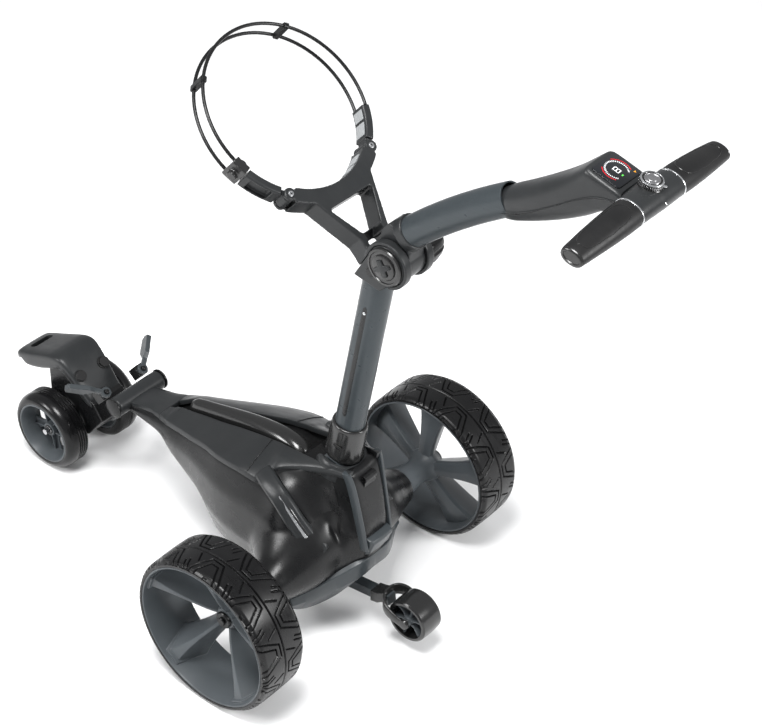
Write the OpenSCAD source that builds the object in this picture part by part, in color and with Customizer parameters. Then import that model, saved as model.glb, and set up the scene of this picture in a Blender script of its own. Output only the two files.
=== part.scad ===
// Electric golf trolley, unfolded and standing on its wheels.
// +X is the way it drives, +Y its left side, +Z up, and Z = 0 is the ground.
// Most places are given from the rear axle's point on the ground, and at_axle() moves them to the origin
// at the middle of the whole trolley's footprint.

/* [Overall] */
// Reach from the rear axle forward to the tip of the front bracket
front_reach = 690; // [680:1:700]
// Reach from the rear axle back to the hand grips
rear_reach = 520; // [505:1:535]
// Width over the rear tyres
track_w = 600; // [592:2:612]

/* [Wheels] */
// Diameter of a rear tyre
rear_d = 261; // [256:1:266]
// Width of a rear tyre
rear_w = 87; // [80:1:92]
// Diameter of a front tyre
front_d = 141; // [138:1:143]
// Width of a front tyre
front_w = 44; // [38:1:46]
// Distance between the rear and front axles
wheelbase = 583; // [580:1:586]
// Diameter of the anti-tip wheel
tip_d = 60; // [54:1:62]
// Width of the anti-tip wheel
tip_w = 35; // [30:1:36]
// Diameter of the rear axles
axle_d = 12; // [10:1:14]

/* [Mast and handle] */
// Backward lean of the mast in degrees
lean = 10.3; // [9:0.1:11]
// Width of the mast tube, across the trolley
mast_w = 40; // [36:1:42]
// Depth of the mast tube, along the trolley
mast_l = 47; // [44:1:50]
// Wall of the aluminium tubes
tube_wall = 2.5; // [2:0.5:4]
// Distance from the mast's fold pin to the handle's fold pin, along the mast
mast_reach = 430; // [425:1:436]
// Width of the hand grip bar, end to end
bar_w = 316; // [300:2:330]
// Bend radius of the handle tube
arm_bend = 1050; // [1000:10:1100]

/* [Bag supports] */
// Radius of the bag strap's loop
loop_r = 129; // [127:1:131]
// Diameter of a strap cord
cord_d = 5; // [4:0.5:6]
// Distance between the two strap cords
cord_gap = 27.6; // [25:0.2:30]
// Tilt of the bag, from upright, in degrees
bag_tilt = 40.9; // [40.5:0.1:41.5]

/* [Fits] */
// Radial clearance of a pin that turns in its bore
running = 0.05; // [0.02:0.01:0.09]
// Gap between two parts that move past each other
gap = 0.5; // [0.4:0.1:0.8]
// Wall of the moulded casings
wall = 3; // [2.5:0.5:3.5]

/* [Hidden] */
$fn = 96;
hull_fn = 32;

// Colours
slate = "#3f4547";
graphite = "#303333";
black = "#151617";
steel = "#9a9da0";
rubber_black = "#1b1b1c";

// Places on the trolley, from the rear axle's ground point
axle_x = (rear_reach - front_reach) / 2;
rear_r = rear_d / 2;
front_r = front_d / 2;
tip_r = tip_d / 2;
rear_out = track_w / 2;
rear_in = rear_out - rear_w;
front_in = 38.5;
front_pivot = [430, 0, 187];
tip_hub = [-164, 0, 62];
mast_pivot = [-15, 0, 286];
hub_back = 25.5;
loop_centre = [93.3, 0, 847.8];
bar_x = -rear_reach + 24;
bar_z = 959;

// Sizes that several parts share
rim_r = 110;
rim_wall = 5;
hub_r = 22;
pin_r = 6;
foot_r = 24;
slot_half = 27.5;
elbow_half = 16.5;
ear_out = 30;
barrel_r = 31;
front_tube_r = 16.5;
knuckle_half = 26;
strap_pin = [101.7, 83];
strap_depth = 34;

module at_axle() {
    translate([axle_x, 0, 0]) children();
}

// Turns a shape made up the Z axis to lie along +Y, starting at y = from
module along_y(from) {
    translate([0, from, 0]) rotate([-90, 0, 0]) children();
}

// Shape on the left side, or its mirror image on the right side
module on_side(side) {
    if (side > 0) children();
    else mirror([0, 1, 0]) children();
}

module both_sides() {
    children();
    mirror([0, 1, 0]) children();
}

// Flat outline in the X-Z plane, made solid between y = from and y = to
module slab(points, from, to) {
    translate([0, to, 0]) rotate([90, 0, 0]) linear_extrude(to - from) polygon(points);
}

// Oval with straight middle and round ends, centred
module stadium(length, width) {
    square([length - width, width], center = true);
    for (end = [-1, 1]) translate([end * (length - width) / 2, 0]) circle(d = width);
}

// Rectangle with round corners, centred
module rounded(length, width, r) {
    square([length - 2 * r, width], center = true);
    square([length, width - 2 * r], center = true);
    for (i = [-1, 1], j = [-1, 1]) translate([i * (length / 2 - r), j * (width / 2 - r)]) circle(r);
}

// Part of a turn about an axis along Y, measured up from +X
module arc_in_xz(start, sweep) {
    rotate([90, 0, 0]) rotate([0, 0, start]) rotate_extrude(angle = sweep) children();
}

// The mast's own frame: origin on its fold pin, +Z up the mast
module in_mast() {
    at_axle() translate(mast_pivot) rotate([0, -lean, 0]) children();
}

// The bag loop's frame: origin at its centre, +X forward and up in its plane, +Z along the bag
module in_loop() {
    at_axle() translate(loop_centre) rotate([0, -bag_tilt, 0]) children();
}

// The handle hub's frame: origin on the handle's fold pin, axes level
hub_place = mast_pivot + mast_reach * [-sin(lean), 0, cos(lean)] - hub_back * [cos(lean), 0, sin(lean)];
module in_hub() {
    at_axle() translate(hub_place) children();
}

// Skin through rings of points that all have the same count
module loft(rings) {
    n = len(rings[0]);
    last = len(rings) - 1;
    sides = [
        for (i = [0:last - 1], j = [0:n - 1], half = [0, 1])
            let (a = i * n + j, b = i * n + (j + 1) % n, c = a + n, d = b + n)
                half == 0 ? [a, b, d] : [a, d, c]
    ];
    first_cap = [for (j = [n - 1:-1:0]) j];
    last_cap = [for (j = [0:n - 1]) last * n + j];
    polyhedron([for (ring = rings) for (p = ring) p], concat([first_cap], sides, [last_cap]));
}

// ---------- Chassis ----------

// Half outlines of the chassis skin at places along it: [x, then y and z from the valley's edge,
// over the ridge crease and down the flank to the lower edge]
cover_stations = [
    [306, [14, 226], [40, 216], [44, 208], [40, 176]],
    [262, [17, 243], [54, 228], [60, 214], [56, 160]],
    [214, [20, 256], [66, 241], [73, 222], [74, 144]],
    [164, [23, 268], [79, 250], [87, 228], [90, 132]],
    [106, [27, 283], [86, 258], [95, 236], [100, 126]]
];
// One half outline and its mirror image, drawn in by inset and moved by rise
function outline_of(s, inset, rise) =
    let (half = [for (i = [1:len(s) - 1]) [s[i][0] - inset, s[i][1] + rise]])
        concat(half, [for (i = [len(half) - 1:-1:0]) [-half[i][0], half[i][1]]]);
// Convex body through the stations; stretch moves its ends out from their middle
module through_stations(stations, inset, rise, stretch) {
    middle = (stations[0][0] + stations[len(stations) - 1][0]) / 2;
    hull() for (s = stations)
        translate([middle + (s[0] - middle) * stretch, 0, 0]) rotate([90, 0, 90])
            linear_extrude(0.2) polygon(outline_of(s, inset, rise));
}

// The valley that holds the duct and shows the neck in front of it
module valley(grow) {
    hull() {
        translate([310, 0, 226]) cube([1, 25 + 2 * grow, 44 + 2 * grow], center = true);
        translate([100, 0, 276]) cube([1, 51 + 2 * grow, 60 + 2 * grow], center = true);
    }
}

module top_cover() {
    color(graphite) at_axle() difference() {
        through_stations(cover_stations, 0, 0, 1);
        difference() {
            through_stations(cover_stations, wall, -wall, 1.05);
            valley(wall);
        }
        // open below
        slab([[320, 120], [320, 178], [262, 162], [214, 146], [164, 134], [90, 128], [90, 60]], -120, 120);
        valley(0);
    }
}

// Half-round duct that runs up the valley of the top cover
duct_from = [296, 0, 221];
duct_to = [82, 0, 270];
duct_run = duct_to - duct_from;
duct_r = 11.5;
module duct_placed() {
    translate(duct_from) rotate([0, -90 + atan2(duct_run[2], -duct_run[0]), 0]) children();
}
module duct_outline(grow, length) {
    cylinder(h = length, r = duct_r + grow);
    translate([-12 - grow, -duct_r - grow, 0]) cube([12 + grow, 2 * (duct_r + grow), length]);
}
module valley_duct() {
    length = norm(duct_run);
    color(black) at_axle() duct_placed() difference() {
        duct_outline(0, length);
        translate([-9, -8.5, wall]) cube([14, 17, length - 2 * wall]);
    }
}

// Front casting: neck and the clamp that holds the front pivot tube
module neck_frame() {
    outline = [
        [440, 203], [424, 206], [364, 209], [309.5, 224], [309.5, 150], [330, 168], [360, 170], [410, 171]
    ];
    color(graphite) at_axle() difference() {
        union() {
            intersection() {
                slab(outline, -50, 50);
                linear_extrude(400) polygon([
                    [440, -knuckle_half], [373, -knuckle_half], [309, -42],
                    [309, 42], [373, knuckle_half], [440, knuckle_half]
                ]);
            }
            translate(front_pivot) along_y(-knuckle_half)
                cylinder(h = 2 * knuckle_half, r = front_tube_r + 5);
        }
        translate(front_pivot) along_y(-60) cylinder(h = 120, r = front_tube_r + running);
        // open mouth of the clamp, towards the front bracket
        translate(front_pivot) rotate([0, 8, 0]) translate([8, -40, -22]) cube([40, 80, 40]);
        // shallow pocket in the top, where the duct starts
        translate([304, 0, 220]) cube([26, 22, 16], center = true);
        // core taken out from below
        slab([[396, 168], [372, 195], [314, 205], [300, 205], [300, 140], [360, 150]], -22, 22);
    }
}

// Tall rear casing round the mast's foot, the motors and the controller
tower_back = -74;
module tower_solid(inset) {
    hull() {
        for (s = [-1, 1]) translate([tower_back + 14 + inset, s * (20 - inset), 230])
            cylinder(h = 86 - inset, r = 14, $fn = hull_fn);
        for (s = [-1, 1]) translate([12, s * (22 - inset), 230])
            cylinder(h = 76 - inset, r = 14, $fn = hull_fn);
        translate([-78 + inset, -62 + inset, 190]) cube([150, 124 - 2 * inset, 44]);
    }
    hull() {
        translate([-40, -34 + inset, 220]) cube([50, 68 - 2 * inset, 70 - inset]);
        translate([100, -28, 220]) cube([4 - inset / 2, 56, 60 - inset]);
        translate([100, -90 + inset, 160]) cube([4 - inset / 2, 180 - 2 * inset, 90 - inset]);
        translate([-40, -92 + inset, 160]) cube([50, 184 - 2 * inset, 40]);
    }
    hull() {
        translate([-88 + inset, -66 + inset, 128]) cube([176, 132 - 2 * inset, 84 - inset]);
        translate([-58 + inset, -118 + inset, 122]) cube([120, 236 - 2 * inset, 46 - inset]);
        translate([-60 + inset, -100 + inset, 100 + inset]) cube([150, 200 - 2 * inset, 30]);
    }
}
module rear_casing() {
    color(graphite) at_axle() {
        difference() {
            tower_solid(0);
            difference() {
                tower_solid(wall);
                // solid floor of the latch recess
                translate([-110, -18, 90]) cube([57, 36, 240]);
            }
            // open underside
            translate([-50, -92, 80]) cube([160, 184, 60]);
            // slot that the mast's foot turns in and the mast folds down into
            translate([-50, -slot_half, 232]) cube([128, 2 * slot_half, 120]);
            // latch recess in the back
            translate([-130, -15, 196]) cube([74, 30, 108]);
            // axle housings leave through the sides
            translate([0, 0, rear_r]) along_y(-160) cylinder(h = 320, r = 51);
            // valley that the duct runs in
            duct_placed() translate([0, 0, -20]) duct_outline(0.3, 320);
            // passage into the belly, ahead
            translate([60, -70, 130]) cube([60, 140, 90]);
            // room for the lower band, and for the anti-tip arm below it
            slab([[-130, 80], [-130, 152], [-66, 152], [-60, 126], [-40, 98], [-40, 80]], -140, 140);
        }
        // pin of the latch lever
        translate(latch_pin) along_y(-16) cylinder(h = 32, r = 2.5);
    }
}

// Lower rear band, a curved bar between the axle housings: [y, then x and z round its section]
band_stations = [
    [-118, [-56, 100], [-50, 84], [-30, 70], [-22, 76], [-42, 90], [-46, 104]],
    [-60, [-76, 146], [-72, 120], [-48, 86], [-40, 90], [-62, 122], [-66, 146]],
    [0, [-82, 150], [-77, 123], [-53, 88], [-44, 92], [-67, 124], [-71, 150]],
    [60, [-76, 146], [-72, 120], [-48, 86], [-40, 90], [-62, 122], [-66, 146]],
    [118, [-56, 100], [-50, 84], [-30, 70], [-22, 76], [-42, 90], [-46, 104]]
];
module rear_band() {
    color(slate) at_axle() loft([
        for (s = band_stations) [for (i = [1:len(s) - 1]) [s[i][0], s[0], s[i][1]]]
    ]);
}

// Half outlines of the belly skin: [x, then y and z from the upper edge down to the bottom]
belly_rear = [
    [-26, [90, 108], [84, 84], [50, 66]],
    [-10, [90, 110], [86, 84], [50, 60]],
    [50, [90, 116], [84, 86], [48, 58]],
    [104, [90, 124], [74, 92], [44, 58]],
    [164, [87, 130], [70, 94], [42, 58]],
    [198, [77, 137], [66, 96], [40, 62]],
    [230, [68, 145], [58, 116], [38, 104]]
];
belly_front = [
    [230, [68, 145], [58, 116], [38, 104]],
    [262, [54, 156], [50, 132], [34, 122]],
    [307, [38, 172], [36, 158], [26, 149]]
];
// Side view of the casing's lower front edge, which the skin stops against
casing_foot = [[-60, 118], [104.5, 118], [104.5, 200], [-60, 200]];
rib_top = 109.5;
module belly_pan() {
    color(black) at_axle() difference() {
        union() {
            difference() {
                union() {
                    through_stations(belly_rear, 0, 0, 1);
                    through_stations(belly_front, 0, 0, 1);
                }
                through_stations(belly_rear, wall, wall, 1.02);
                through_stations(belly_front, wall, wall, 1.06);
                // open above
                slab([[-60, 104], [104, 121], [198, 134], [262, 153], [320, 172], [320, 260], [-60, 260]], -120, 120);
            }
            // ribs that the battery stands on
            translate([112, -40, 59]) cube([4, 80, rib_top - 59]);
            translate([196, -40, 63]) cube([4, 80, rib_top - 63]);
            // socket of the anti-tip arm
            translate([-25, -14, 36]) cube([51, 28, 28]);
        }
        tip_arm_placed() linear_extrude(220) square(arm_size + 0.3, center = true);
        // room for the gearboxes
        for (s = [-1, 1]) on_side(s) translate([0, 0, rear_r]) along_y(gear_from - 1)
            cylinder(h = gear_to - gear_from + 2, r = 40);
        slab(casing_foot, -110, 110);
    }
}

// Cradle inside the casing: two ears that hold the mast's fold pin, on a cross plate
module mast_cradle() {
    color(steel) at_axle() difference() {
        for (s = [-1, 1]) on_side(s) {
            translate([-15, slot_half + 0.2, 0]) slab([
                [-16, 182], [16, 182], [16, 286], [8, 298], [-8, 298], [-16, 286]
            ], 0, 4);
        }
        translate(mast_pivot) along_y(-60) cylinder(h = 120, r = pin_r + running);
    }
    color(steel) at_axle() translate([-40, -36, 176]) cube([56, 72, 6]);
}

battery_size = [118, 84, 76];
module battery_pack() {
    color(black) at_axle() {
        translate([163, 0, 110]) linear_extrude(battery_size[2])
            rounded(battery_size[0], battery_size[1], 6);
        translate([126, 0, 186]) linear_extrude(6) rounded(24, 40, 3);
        // terminal sockets on the back
        for (s = [-1, 1]) translate([98, s * 18, 150]) rotate([0, 90, 0]) cylinder(h = 8, r = 5);
    }
}

module controller_box() {
    color(steel) at_axle() {
        translate([50, 0, 182]) linear_extrude(30) rounded(64, 84, 4);
        // cooling fins
        for (i = [-4:4]) translate([20, i * 9 - 1.5, 211]) cube([60, 3, 10]);
    }
}

motor_r = 31;
motor_from = 4;
motor_to = 70;
module motor(side) {
    color(steel) at_axle() on_side(side) translate([0, 0, rear_r]) {
        along_y(motor_from) cylinder(h = motor_to - motor_from, r = motor_r);
        along_y(motor_to - 0.1) cylinder(h = 4, r = motor_r - 8);
        // brush cap
        for (a = [0, 180]) rotate([0, a, 0]) translate([24, motor_from + 6, 0])
            rotate([0, 90, 0]) cylinder(h = 10, r = 4);
    }
}
module motor_left() {
    motor(1);
}
module motor_right() {
    motor(-1);
}

gear_from = 74.2;
gear_to = 104;
module gearbox(side) {
    color(slate) at_axle() on_side(side) translate([0, 0, rear_r]) difference() {
        union() {
            along_y(gear_from) cylinder(h = gear_to - gear_from, r = 38);
            for (i = [0:5]) rotate([0, i * 60, 0]) translate([34.5, gear_from, 0])
                rotate([-90, 0, 0]) cylinder(h = 12, r = 4.5);
        }
        along_y(gear_from + 12) cylinder(h = 40, r = axle_d / 2 + running);
    }
}
module gearbox_left() {
    gearbox(1);
}
module gearbox_right() {
    gearbox(-1);
}

// Bell-shaped housing that carries an axle out to its wheel
bell_profile = [
    [28, 104.2], [50, 104.2], [50, 122], [47, 142], [39, 162], [30, 182], [25, 200], [24, 211],
    [9, 211], [9, 190], [20, 170], [28, 140]
];
module axle_housing(side) {
    color(graphite) at_axle() on_side(side) translate([0, 0, rear_r]) {
        along_y(0) rotate_extrude() polygon(bell_profile);
        // two bearings
        for (y = [106, 196]) along_y(y) difference() {
            cylinder(h = 12, r = y > 150 ? 9.2 : 28.2);
            translate([0, 0, -1]) cylinder(h = 14, r = axle_d / 2 + running);
        }
    }
}
module axle_housing_left() {
    axle_housing(1);
}
module axle_housing_right() {
    axle_housing(-1);
}

// ---------- Anti-tip wheel ----------

arm_size = 18;
tip_arm_start = [22, 0, 49];
tip_arm_end = [-118, 0, 68];
module tip_arm_placed() {
    run = tip_arm_end - tip_arm_start;
    translate(tip_arm_start) rotate([0, -90 - asin(run[2] / norm(run)) * -1, 0]) children();
}
module anti_tip_arm() {
    color(slate) at_axle() tip_arm_placed() difference() {
        linear_extrude(norm(tip_arm_end - tip_arm_start)) rounded(arm_size, arm_size, 2);
        translate([0, 0, -1]) linear_extrude(120) rounded(arm_size - 4, arm_size - 4, 1);
    }
}
// Hood over the wheel, with a cheek on each side
module anti_tip_fork() {
    cheek = tip_w / 2 + 2;
    color(black) at_axle() difference() {
        union() {
            translate(tip_hub) along_y(-cheek - 5) cylinder(h = 2 * cheek + 10, r = tip_r + 6);
            translate([tip_arm_end[0] - 22, -arm_size / 2 - 4, 52]) cube([44, arm_size + 8, 28]);
        }
        // room for the wheel
        translate(tip_hub) along_y(-cheek) cylinder(h = 2 * cheek, r = tip_r + 2);
        // cheeks and hood end above the wheel's lower back
        translate(tip_hub) rotate([0, 30, 0]) translate([-80, -60, -80]) cube([66, 120, 160]);
        translate(tip_hub + [-80, -60, -80]) cube([160, 120, 68]);
        translate(tip_hub) along_y(-60) cylinder(h = 120, r = 4);
        tip_arm_placed() translate([0, 0, -60])
            linear_extrude(60 + norm(tip_arm_end - tip_arm_start) + 0.2) square(arm_size + 0.4, center = true);
    }
}
module anti_tip_axle() {
    half = tip_w / 2 + 9;
    color(steel) at_axle() translate(tip_hub) {
        along_y(-half) cylinder(h = 2 * half, r = 4 - running / 2);
        for (s = [-1, 1]) along_y(s > 0 ? half - 1.5 : -half - 2) cylinder(h = 3.5, r = 6.5);
    }
}
module anti_tip_wheel() {
    half = tip_w / 2;
    color(black) at_axle() translate(tip_hub) along_y(0) rotate_extrude() polygon([
        [4 + running, -half], [10, -half], [10, -half + 5], [21, -half + 5], [21, -half], [tip_r - 3, -half],
        [tip_r, -half + 5], [tip_r, half - 5], [tip_r - 3, half], [21, half], [21, half - 5], [10, half - 5],
        [10, half], [4 + running, half]
    ]);
}

// ---------- Mast ----------

latch_pin = [-68, 0, 288];
module mast_latch_lever() {
    color(black) at_axle() difference() {
        union() {
            translate(latch_pin) along_y(-13) cylinder(h = 26, r = 6);
            slab([[-64, 290], [-61, 262], [-63, 240], [-76, 226], [-79, 230], [-69, 246], [-68, 262], [-72, 284]],
                -13, 13);
        }
        translate(latch_pin) along_y(-40) cylinder(h = 80, r = 2.5 + running);
    }
}

// Foot: a barrel that turns in the casing's slot, with its fold pin and the neck that fills the tube
module mast_foot() {
    color(slate) in_mast() {
        along_y(-slot_half + gap) cylinder(h = 2 * (slot_half - gap), r = foot_r);
        along_y(-slot_half - 4) cylinder(h = 2 * slot_half + 8, r = pin_r);
        linear_extrude(110) stadium(mast_l - 2 * tube_wall - 0.4, mast_w - 2 * tube_wall - 0.4);
    }
}
collar_from = 25;
collar_to = 88;
module mast_collar() {
    color(black) in_mast() difference() {
        translate([0, 0, collar_from]) linear_extrude(collar_to - collar_from) stadium(mast_l + 7, mast_w + 9);
        translate([0, 0, collar_from - 1]) linear_extrude(120) stadium(mast_l + 0.4, mast_w + 0.4);
        // clamping slots
        for (x = [-14, 14]) translate([x, 0, collar_to - 16]) cube([12, 60, 5], center = true);
    }
}
tube_top = mast_reach - 48;
module mast_tube() {
    color(slate) in_mast() difference() {
        translate([0, 0, foot_r + 1]) linear_extrude(tube_top - foot_r - 1) stadium(mast_l, mast_w);
        translate([0, 0, -1]) linear_extrude(500) stadium(mast_l - 2 * tube_wall, mast_w - 2 * tube_wall);
    }
}

// Head: plug in the tube's top, and two ears either side of the handle's elbow
ear = [
    [-hub_back - 28, mast_reach - 8], [-mast_l / 2, tube_top + 0.2],
    [mast_l / 2, tube_top + 0.2], [-hub_back + 29, mast_reach + 6]
];
ear_room = [
    [-hub_back - 28.5, mast_reach - 8], [-mast_l / 2 - 0.5, tube_top - 0.3],
    [mast_l / 2 + 0.5, tube_top - 0.3], [-hub_back + 29.5, mast_reach + 6.5]
];
module mast_head() {
    color(slate) in_mast() difference() {
        union() {
            translate([0, 0, tube_top - 40]) linear_extrude(41)
                stadium(mast_l - 2 * tube_wall - 0.4, mast_w - 2 * tube_wall - 0.4);
            slab(ear, -ear_out, ear_out);
            translate([-hub_back, 0, mast_reach]) along_y(-ear_out) cylinder(h = 2 * ear_out, r = barrel_r - 1);
        }
        // room for the elbow's barrel and for the handle as it turns
        translate([-hub_back, 0, mast_reach]) along_y(-elbow_half - gap)
            cylinder(h = 2 * (elbow_half + gap), r = barrel_r + 10);
        translate([-hub_back, 0, mast_reach]) along_y(-60) cylinder(h = 120, r = 10 + running);
    }
}
module handle_pivot_pin() {
    color(steel) in_hub() along_y(-ear_out - 1) cylinder(h = 2 * ear_out + 2, r = 10);
}
// Ribbed sleeve over the right end of the hub
module hub_sleeve() {
    color(black) in_hub() difference() {
        union() {
            along_y(-46) cylinder(h = 15.5, r = barrel_r);
            for (i = [0:2]) along_y(-44 + i * 4.5) cylinder(h = 2, r = barrel_r + 1);
        }
        along_y(-32) cylinder(h = 5, r = 10.5);
    }
}

// Y-shaped bracket from the hub to the two strap arms, drawn in the loop's plane
module bracket_outline() {
    difference() {
        union() {
            // cradle arc of the loop
            intersection() {
                difference() {
                    circle(loop_r + 13);
                    circle(loop_r - 9);
                }
                polygon([[0, 0], [-220, -166], [-220, 166]]);
            }
            // stem that narrows towards the hub
            polygon([
                [-246, -ear_out], [-204, -ear_out + 2], [-118, -62], [-112, -40],
                [-112, 40], [-118, 62], [-204, ear_out - 2], [-246, ear_out]
            ]);
        }
        circle(loop_r - 9);
        // the arc stops short of the strap arms' eyes
        for (s = [-1, 1]) translate([-strap_pin[0], s * strap_pin[1]]) circle(13);
        // upper window
        polygon([[-197, -19.5], [-150, -42], [-147, -38], [-147, 38], [-150, 42], [-197, 19.5]]);
        // room for the elbow between the legs
        translate([-280, -elbow_half - 3]) square([70, 2 * elbow_half + 6]);
    }
}
module bag_bracket() {
    color(graphite) difference() {
        union() {
            in_loop() translate([0, 0, -strap_depth / 2]) linear_extrude(strap_depth) bracket_outline();
            // rings that hold the bracket to the mast's ears
            in_hub() both_sides() along_y(elbow_half + gap + 0.5) cylinder(h = 13, r = barrel_r + 5);
        }
        in_hub() along_y(-60) cylinder(h = 120, r = barrel_r - 0.8);
        // room for the elbow and the mast head between the rings
        in_hub() along_y(-elbow_half - gap) cylinder(h = 2 * (elbow_half + gap), r = barrel_r + 32);
        in_mast() slab(ear_room, -40, 40);
        in_loop() translate([-strap_pin[0], 0, 0]) both_sides() translate([0, strap_pin[1], 0])
            cylinder(h = 80, r = 3 + running, center = true);
    }
    // ears above and below each strap arm's eye
    color(graphite) in_loop() both_sides() for (top = [-1, 1]) difference() {
        translate([0, 0, top * (strap_depth / 2 - 3)]) linear_extrude(6, center = true) difference() {
            union() {
                translate([-strap_pin[0], strap_pin[1]]) circle(9.5);
                intersection() {
                    difference() {
                        circle(loop_r + 10);
                        circle(loop_r - 6);
                    }
                    translate([-strap_pin[0], strap_pin[1]]) circle(14);
                    polygon([[0, 0], [-220, 130], [-220, 176]]);
                }
            }
        }
        translate([-strap_pin[0], strap_pin[1], 0]) cylinder(h = 80, r = 3 + running, center = true);
    }
}

// ---------- Bag strap ----------

// One strap arm: an eye on its pin and a curved bar along the loop
strap_end = 68;
module strap_arm(side) {
    color(graphite) in_loop() on_side(side) {
        translate([-strap_pin[0], strap_pin[1], 0]) {
            cylinder(h = strap_depth - 13, r = 9, center = true);
            cylinder(h = strap_depth + 2, r = 3, center = true);
        }
        difference() {
            rotate([0, 0, 180 - strap_end]) rotate_extrude(angle = strap_end - 45)
                translate([loop_r, 0]) rounded(13, strap_depth - 4, 3);
            // channel for the buckle strap
            rotate([0, 0, 180 - strap_end + 4]) rotate_extrude(angle = strap_end - 54)
                translate([loop_r + 4, 0]) square([6, 22], center = true);
        }
        rotate([0, 0, 180 - 46]) rotate_extrude(angle = 5)
            translate([loop_r, 0]) square([9, strap_depth - 14], center = true);
    }
}
module strap_arm_left() {
    strap_arm(1);
}
module strap_arm_right() {
    strap_arm(-1);
}
// Buckle that the cords end in, just past the left arm
module strap_buckle() {
    color(black) in_loop() {
        rotate([0, 0, 180 - 79]) rotate_extrude(angle = 10) translate([loop_r, 0]) rounded(14, strap_depth + 4, 4);
        rotate([0, 0, 180 - 74]) translate([loop_r + 4, 0, 0]) rotate([0, 90, 0]) cylinder(h = 10, r = 7);
    }
}
module strap_cords() {
    color(black) in_loop() for (s = [-1, 1]) translate([0, 0, s * cord_gap / 2])
        rotate([0, 0, 180 + strap_end + 0.05]) rotate_extrude(angle = 360 - strap_end - 79.1)
            translate([loop_r, 0]) circle(d = cord_d);
    // two clips that keep the cords apart
    color(black) in_loop() for (a = [134, -141.5]) rotate([0, 0, 180 - a - 1.5]) rotate_extrude(angle = 3)
        translate([loop_r, 0]) difference() {
            rounded(9, cord_gap + 9, 3);
            for (s = [-1, 1]) translate([0, s * cord_gap / 2]) circle(d = cord_d - 0.2);
        }
}

// ---------- Handle ----------

// The handle tube bends down towards its middle point here, seen from the side
arm_start = [-6, 36.3];
arm_rise = 43.6;
arm_sweep = 12;
arm_middle = arm_start + arm_bend * [-sin(arm_rise), -cos(arm_rise)];
module along_arm(from, sweep) {
    translate([arm_middle[0], 0, arm_middle[1]]) arc_in_xz(90 - arm_rise + from, sweep)
        translate([arm_bend, 0]) children();
}
module handle_elbow() {
    color(graphite) in_hub() difference() {
        union() {
            along_y(-elbow_half) cylinder(h = 2 * elbow_half, r = barrel_r);
            slab([[24, 12], [20, 44], [7, 60], [-16, 44], [-29, 24], [-29, -6]], -elbow_half, elbow_half);
            along_arm(0.42, 0.9) stadium(mast_l + 5, mast_w + 4);
            along_arm(0.9, 1.9) stadium(mast_l - 2 * tube_wall - 2, mast_w - 2 * tube_wall - 1);
        }
        along_y(-60) cylinder(h = 120, r = 10 + running);
    }
}
module handle_tube() {
    color(slate) in_hub() difference() {
        along_arm(1.34, arm_sweep - 1.34) stadium(mast_l - 1, mast_w + 2);
        along_arm(1.2, arm_sweep) stadium(mast_l - 2 * tube_wall, mast_w - 2 * tube_wall);
    }
}

// Console, seen from the side: outline points from the rear axle's ground point
cover_side = [
    [-298, 868], [-298, 896], [-345, 925], [-387, 956], [-409, 975], [-423, 983], [-468, 970.5],
    [-474, 966], [-474, 946], [-390, 905]
];
base_side = [
    [-298, 867.6], [-390, 904.6], [-474, 945.6], [-474, 938], [-440, 924], [-370, 886], [-323, 858], [-298, 848]
];
module console_plan() {
    linear_extrude(1200) polygon([
        [-290, -26], [-345, -27], [-400, -31], [-480, -31], [-480, 31], [-400, 31], [-345, 27], [-290, 26]
    ]);
}
function shrunk(points, centre, by) = [for (p = points) centre + (p - centre) * by];
module console_cover() {
    color(graphite) at_axle() difference() {
        intersection() {
            slab(cover_side, -31, 31);
            console_plan();
        }
        slab(shrunk(cover_side, [-403, 938], 0.84), -22.7, 22.7);
        // opening for the screen
        screen_placed() translate([0, 0, -20]) linear_extrude(40) rounded(47, 56, 4);
        tube_room();
        bar_room();
    }
}
module console_base() {
    color(black) at_axle() difference() {
        intersection() {
            slab(base_side, -31, 31);
            console_plan();
        }
        tube_room();
        bar_room();
    }
}
// Room in the console for the grip bar and the dial
module bar_room() {
    translate([bar_x, 0, bar_z]) along_y(-60) linear_extrude(120) stadium(48.4, 36.4);
    translate([bar_x + 2, 0, 977]) rotate([0, -dial_tilt, 0]) translate([0, 0, -8.4]) cylinder(h = 40, r = 26);
}
// Room in the console for the end of the handle tube
module tube_room() {
    translate([-axle_x, 0, 0]) in_hub() along_arm(8, 4.3) stadium(mast_l - 0.6, mast_w + 2.4);
}
screen_tilt = 15.8;
module screen_placed() {
    translate([-444, 0, 976]) rotate([0, -screen_tilt, 0]) children();
}
module screen_glass() {
    color(black) at_axle() screen_placed() translate([0, 0, -2.4]) linear_extrude(3) rounded(46.4, 55.4, 4);
}

dial_tilt = 12;
module dial_placed() {
    at_axle() translate([bar_x + 2, 0, 977]) rotate([0, -dial_tilt, 0]) children();
}
module bar_core() {
    color(graphite) difference() {
        union() {
            difference() {
                at_axle() translate([bar_x, 0, bar_z]) along_y(-44) linear_extrude(88) stadium(48, 36);
                // flat that the dial turns on
                dial_placed() translate([0, 0, 1]) cylinder(h = 20, r = 25);
            }
            at_axle() translate([bar_x, 0, bar_z]) along_y(-bar_w / 2 + 8) linear_extrude(bar_w - 16)
                stadium(26, 16);
            dial_placed() translate([0, 0, -8]) cylinder(h = 9, r = 17.5);
            dial_placed() cylinder(h = 5, r = 12);
        }
        dial_placed() translate([0, 0, 0.5]) cylinder(h = 8, r = 7);
    }
}
module grip(side) {
    color(rubber_black) at_axle() on_side(side) translate([bar_x, 0, bar_z]) difference() {
        union() {
            along_y(44.2) linear_extrude(60) stadium(48, 36);
            along_y(104.1) linear_extrude(bar_w / 2 - 106) stadium(47, 32);
            along_y(bar_w / 2 - 2) linear_extrude(2) stadium(43, 28);
        }
        along_y(40) linear_extrude(bar_w / 2 - 48) stadium(26.2, 16.2);
    }
}
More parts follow.
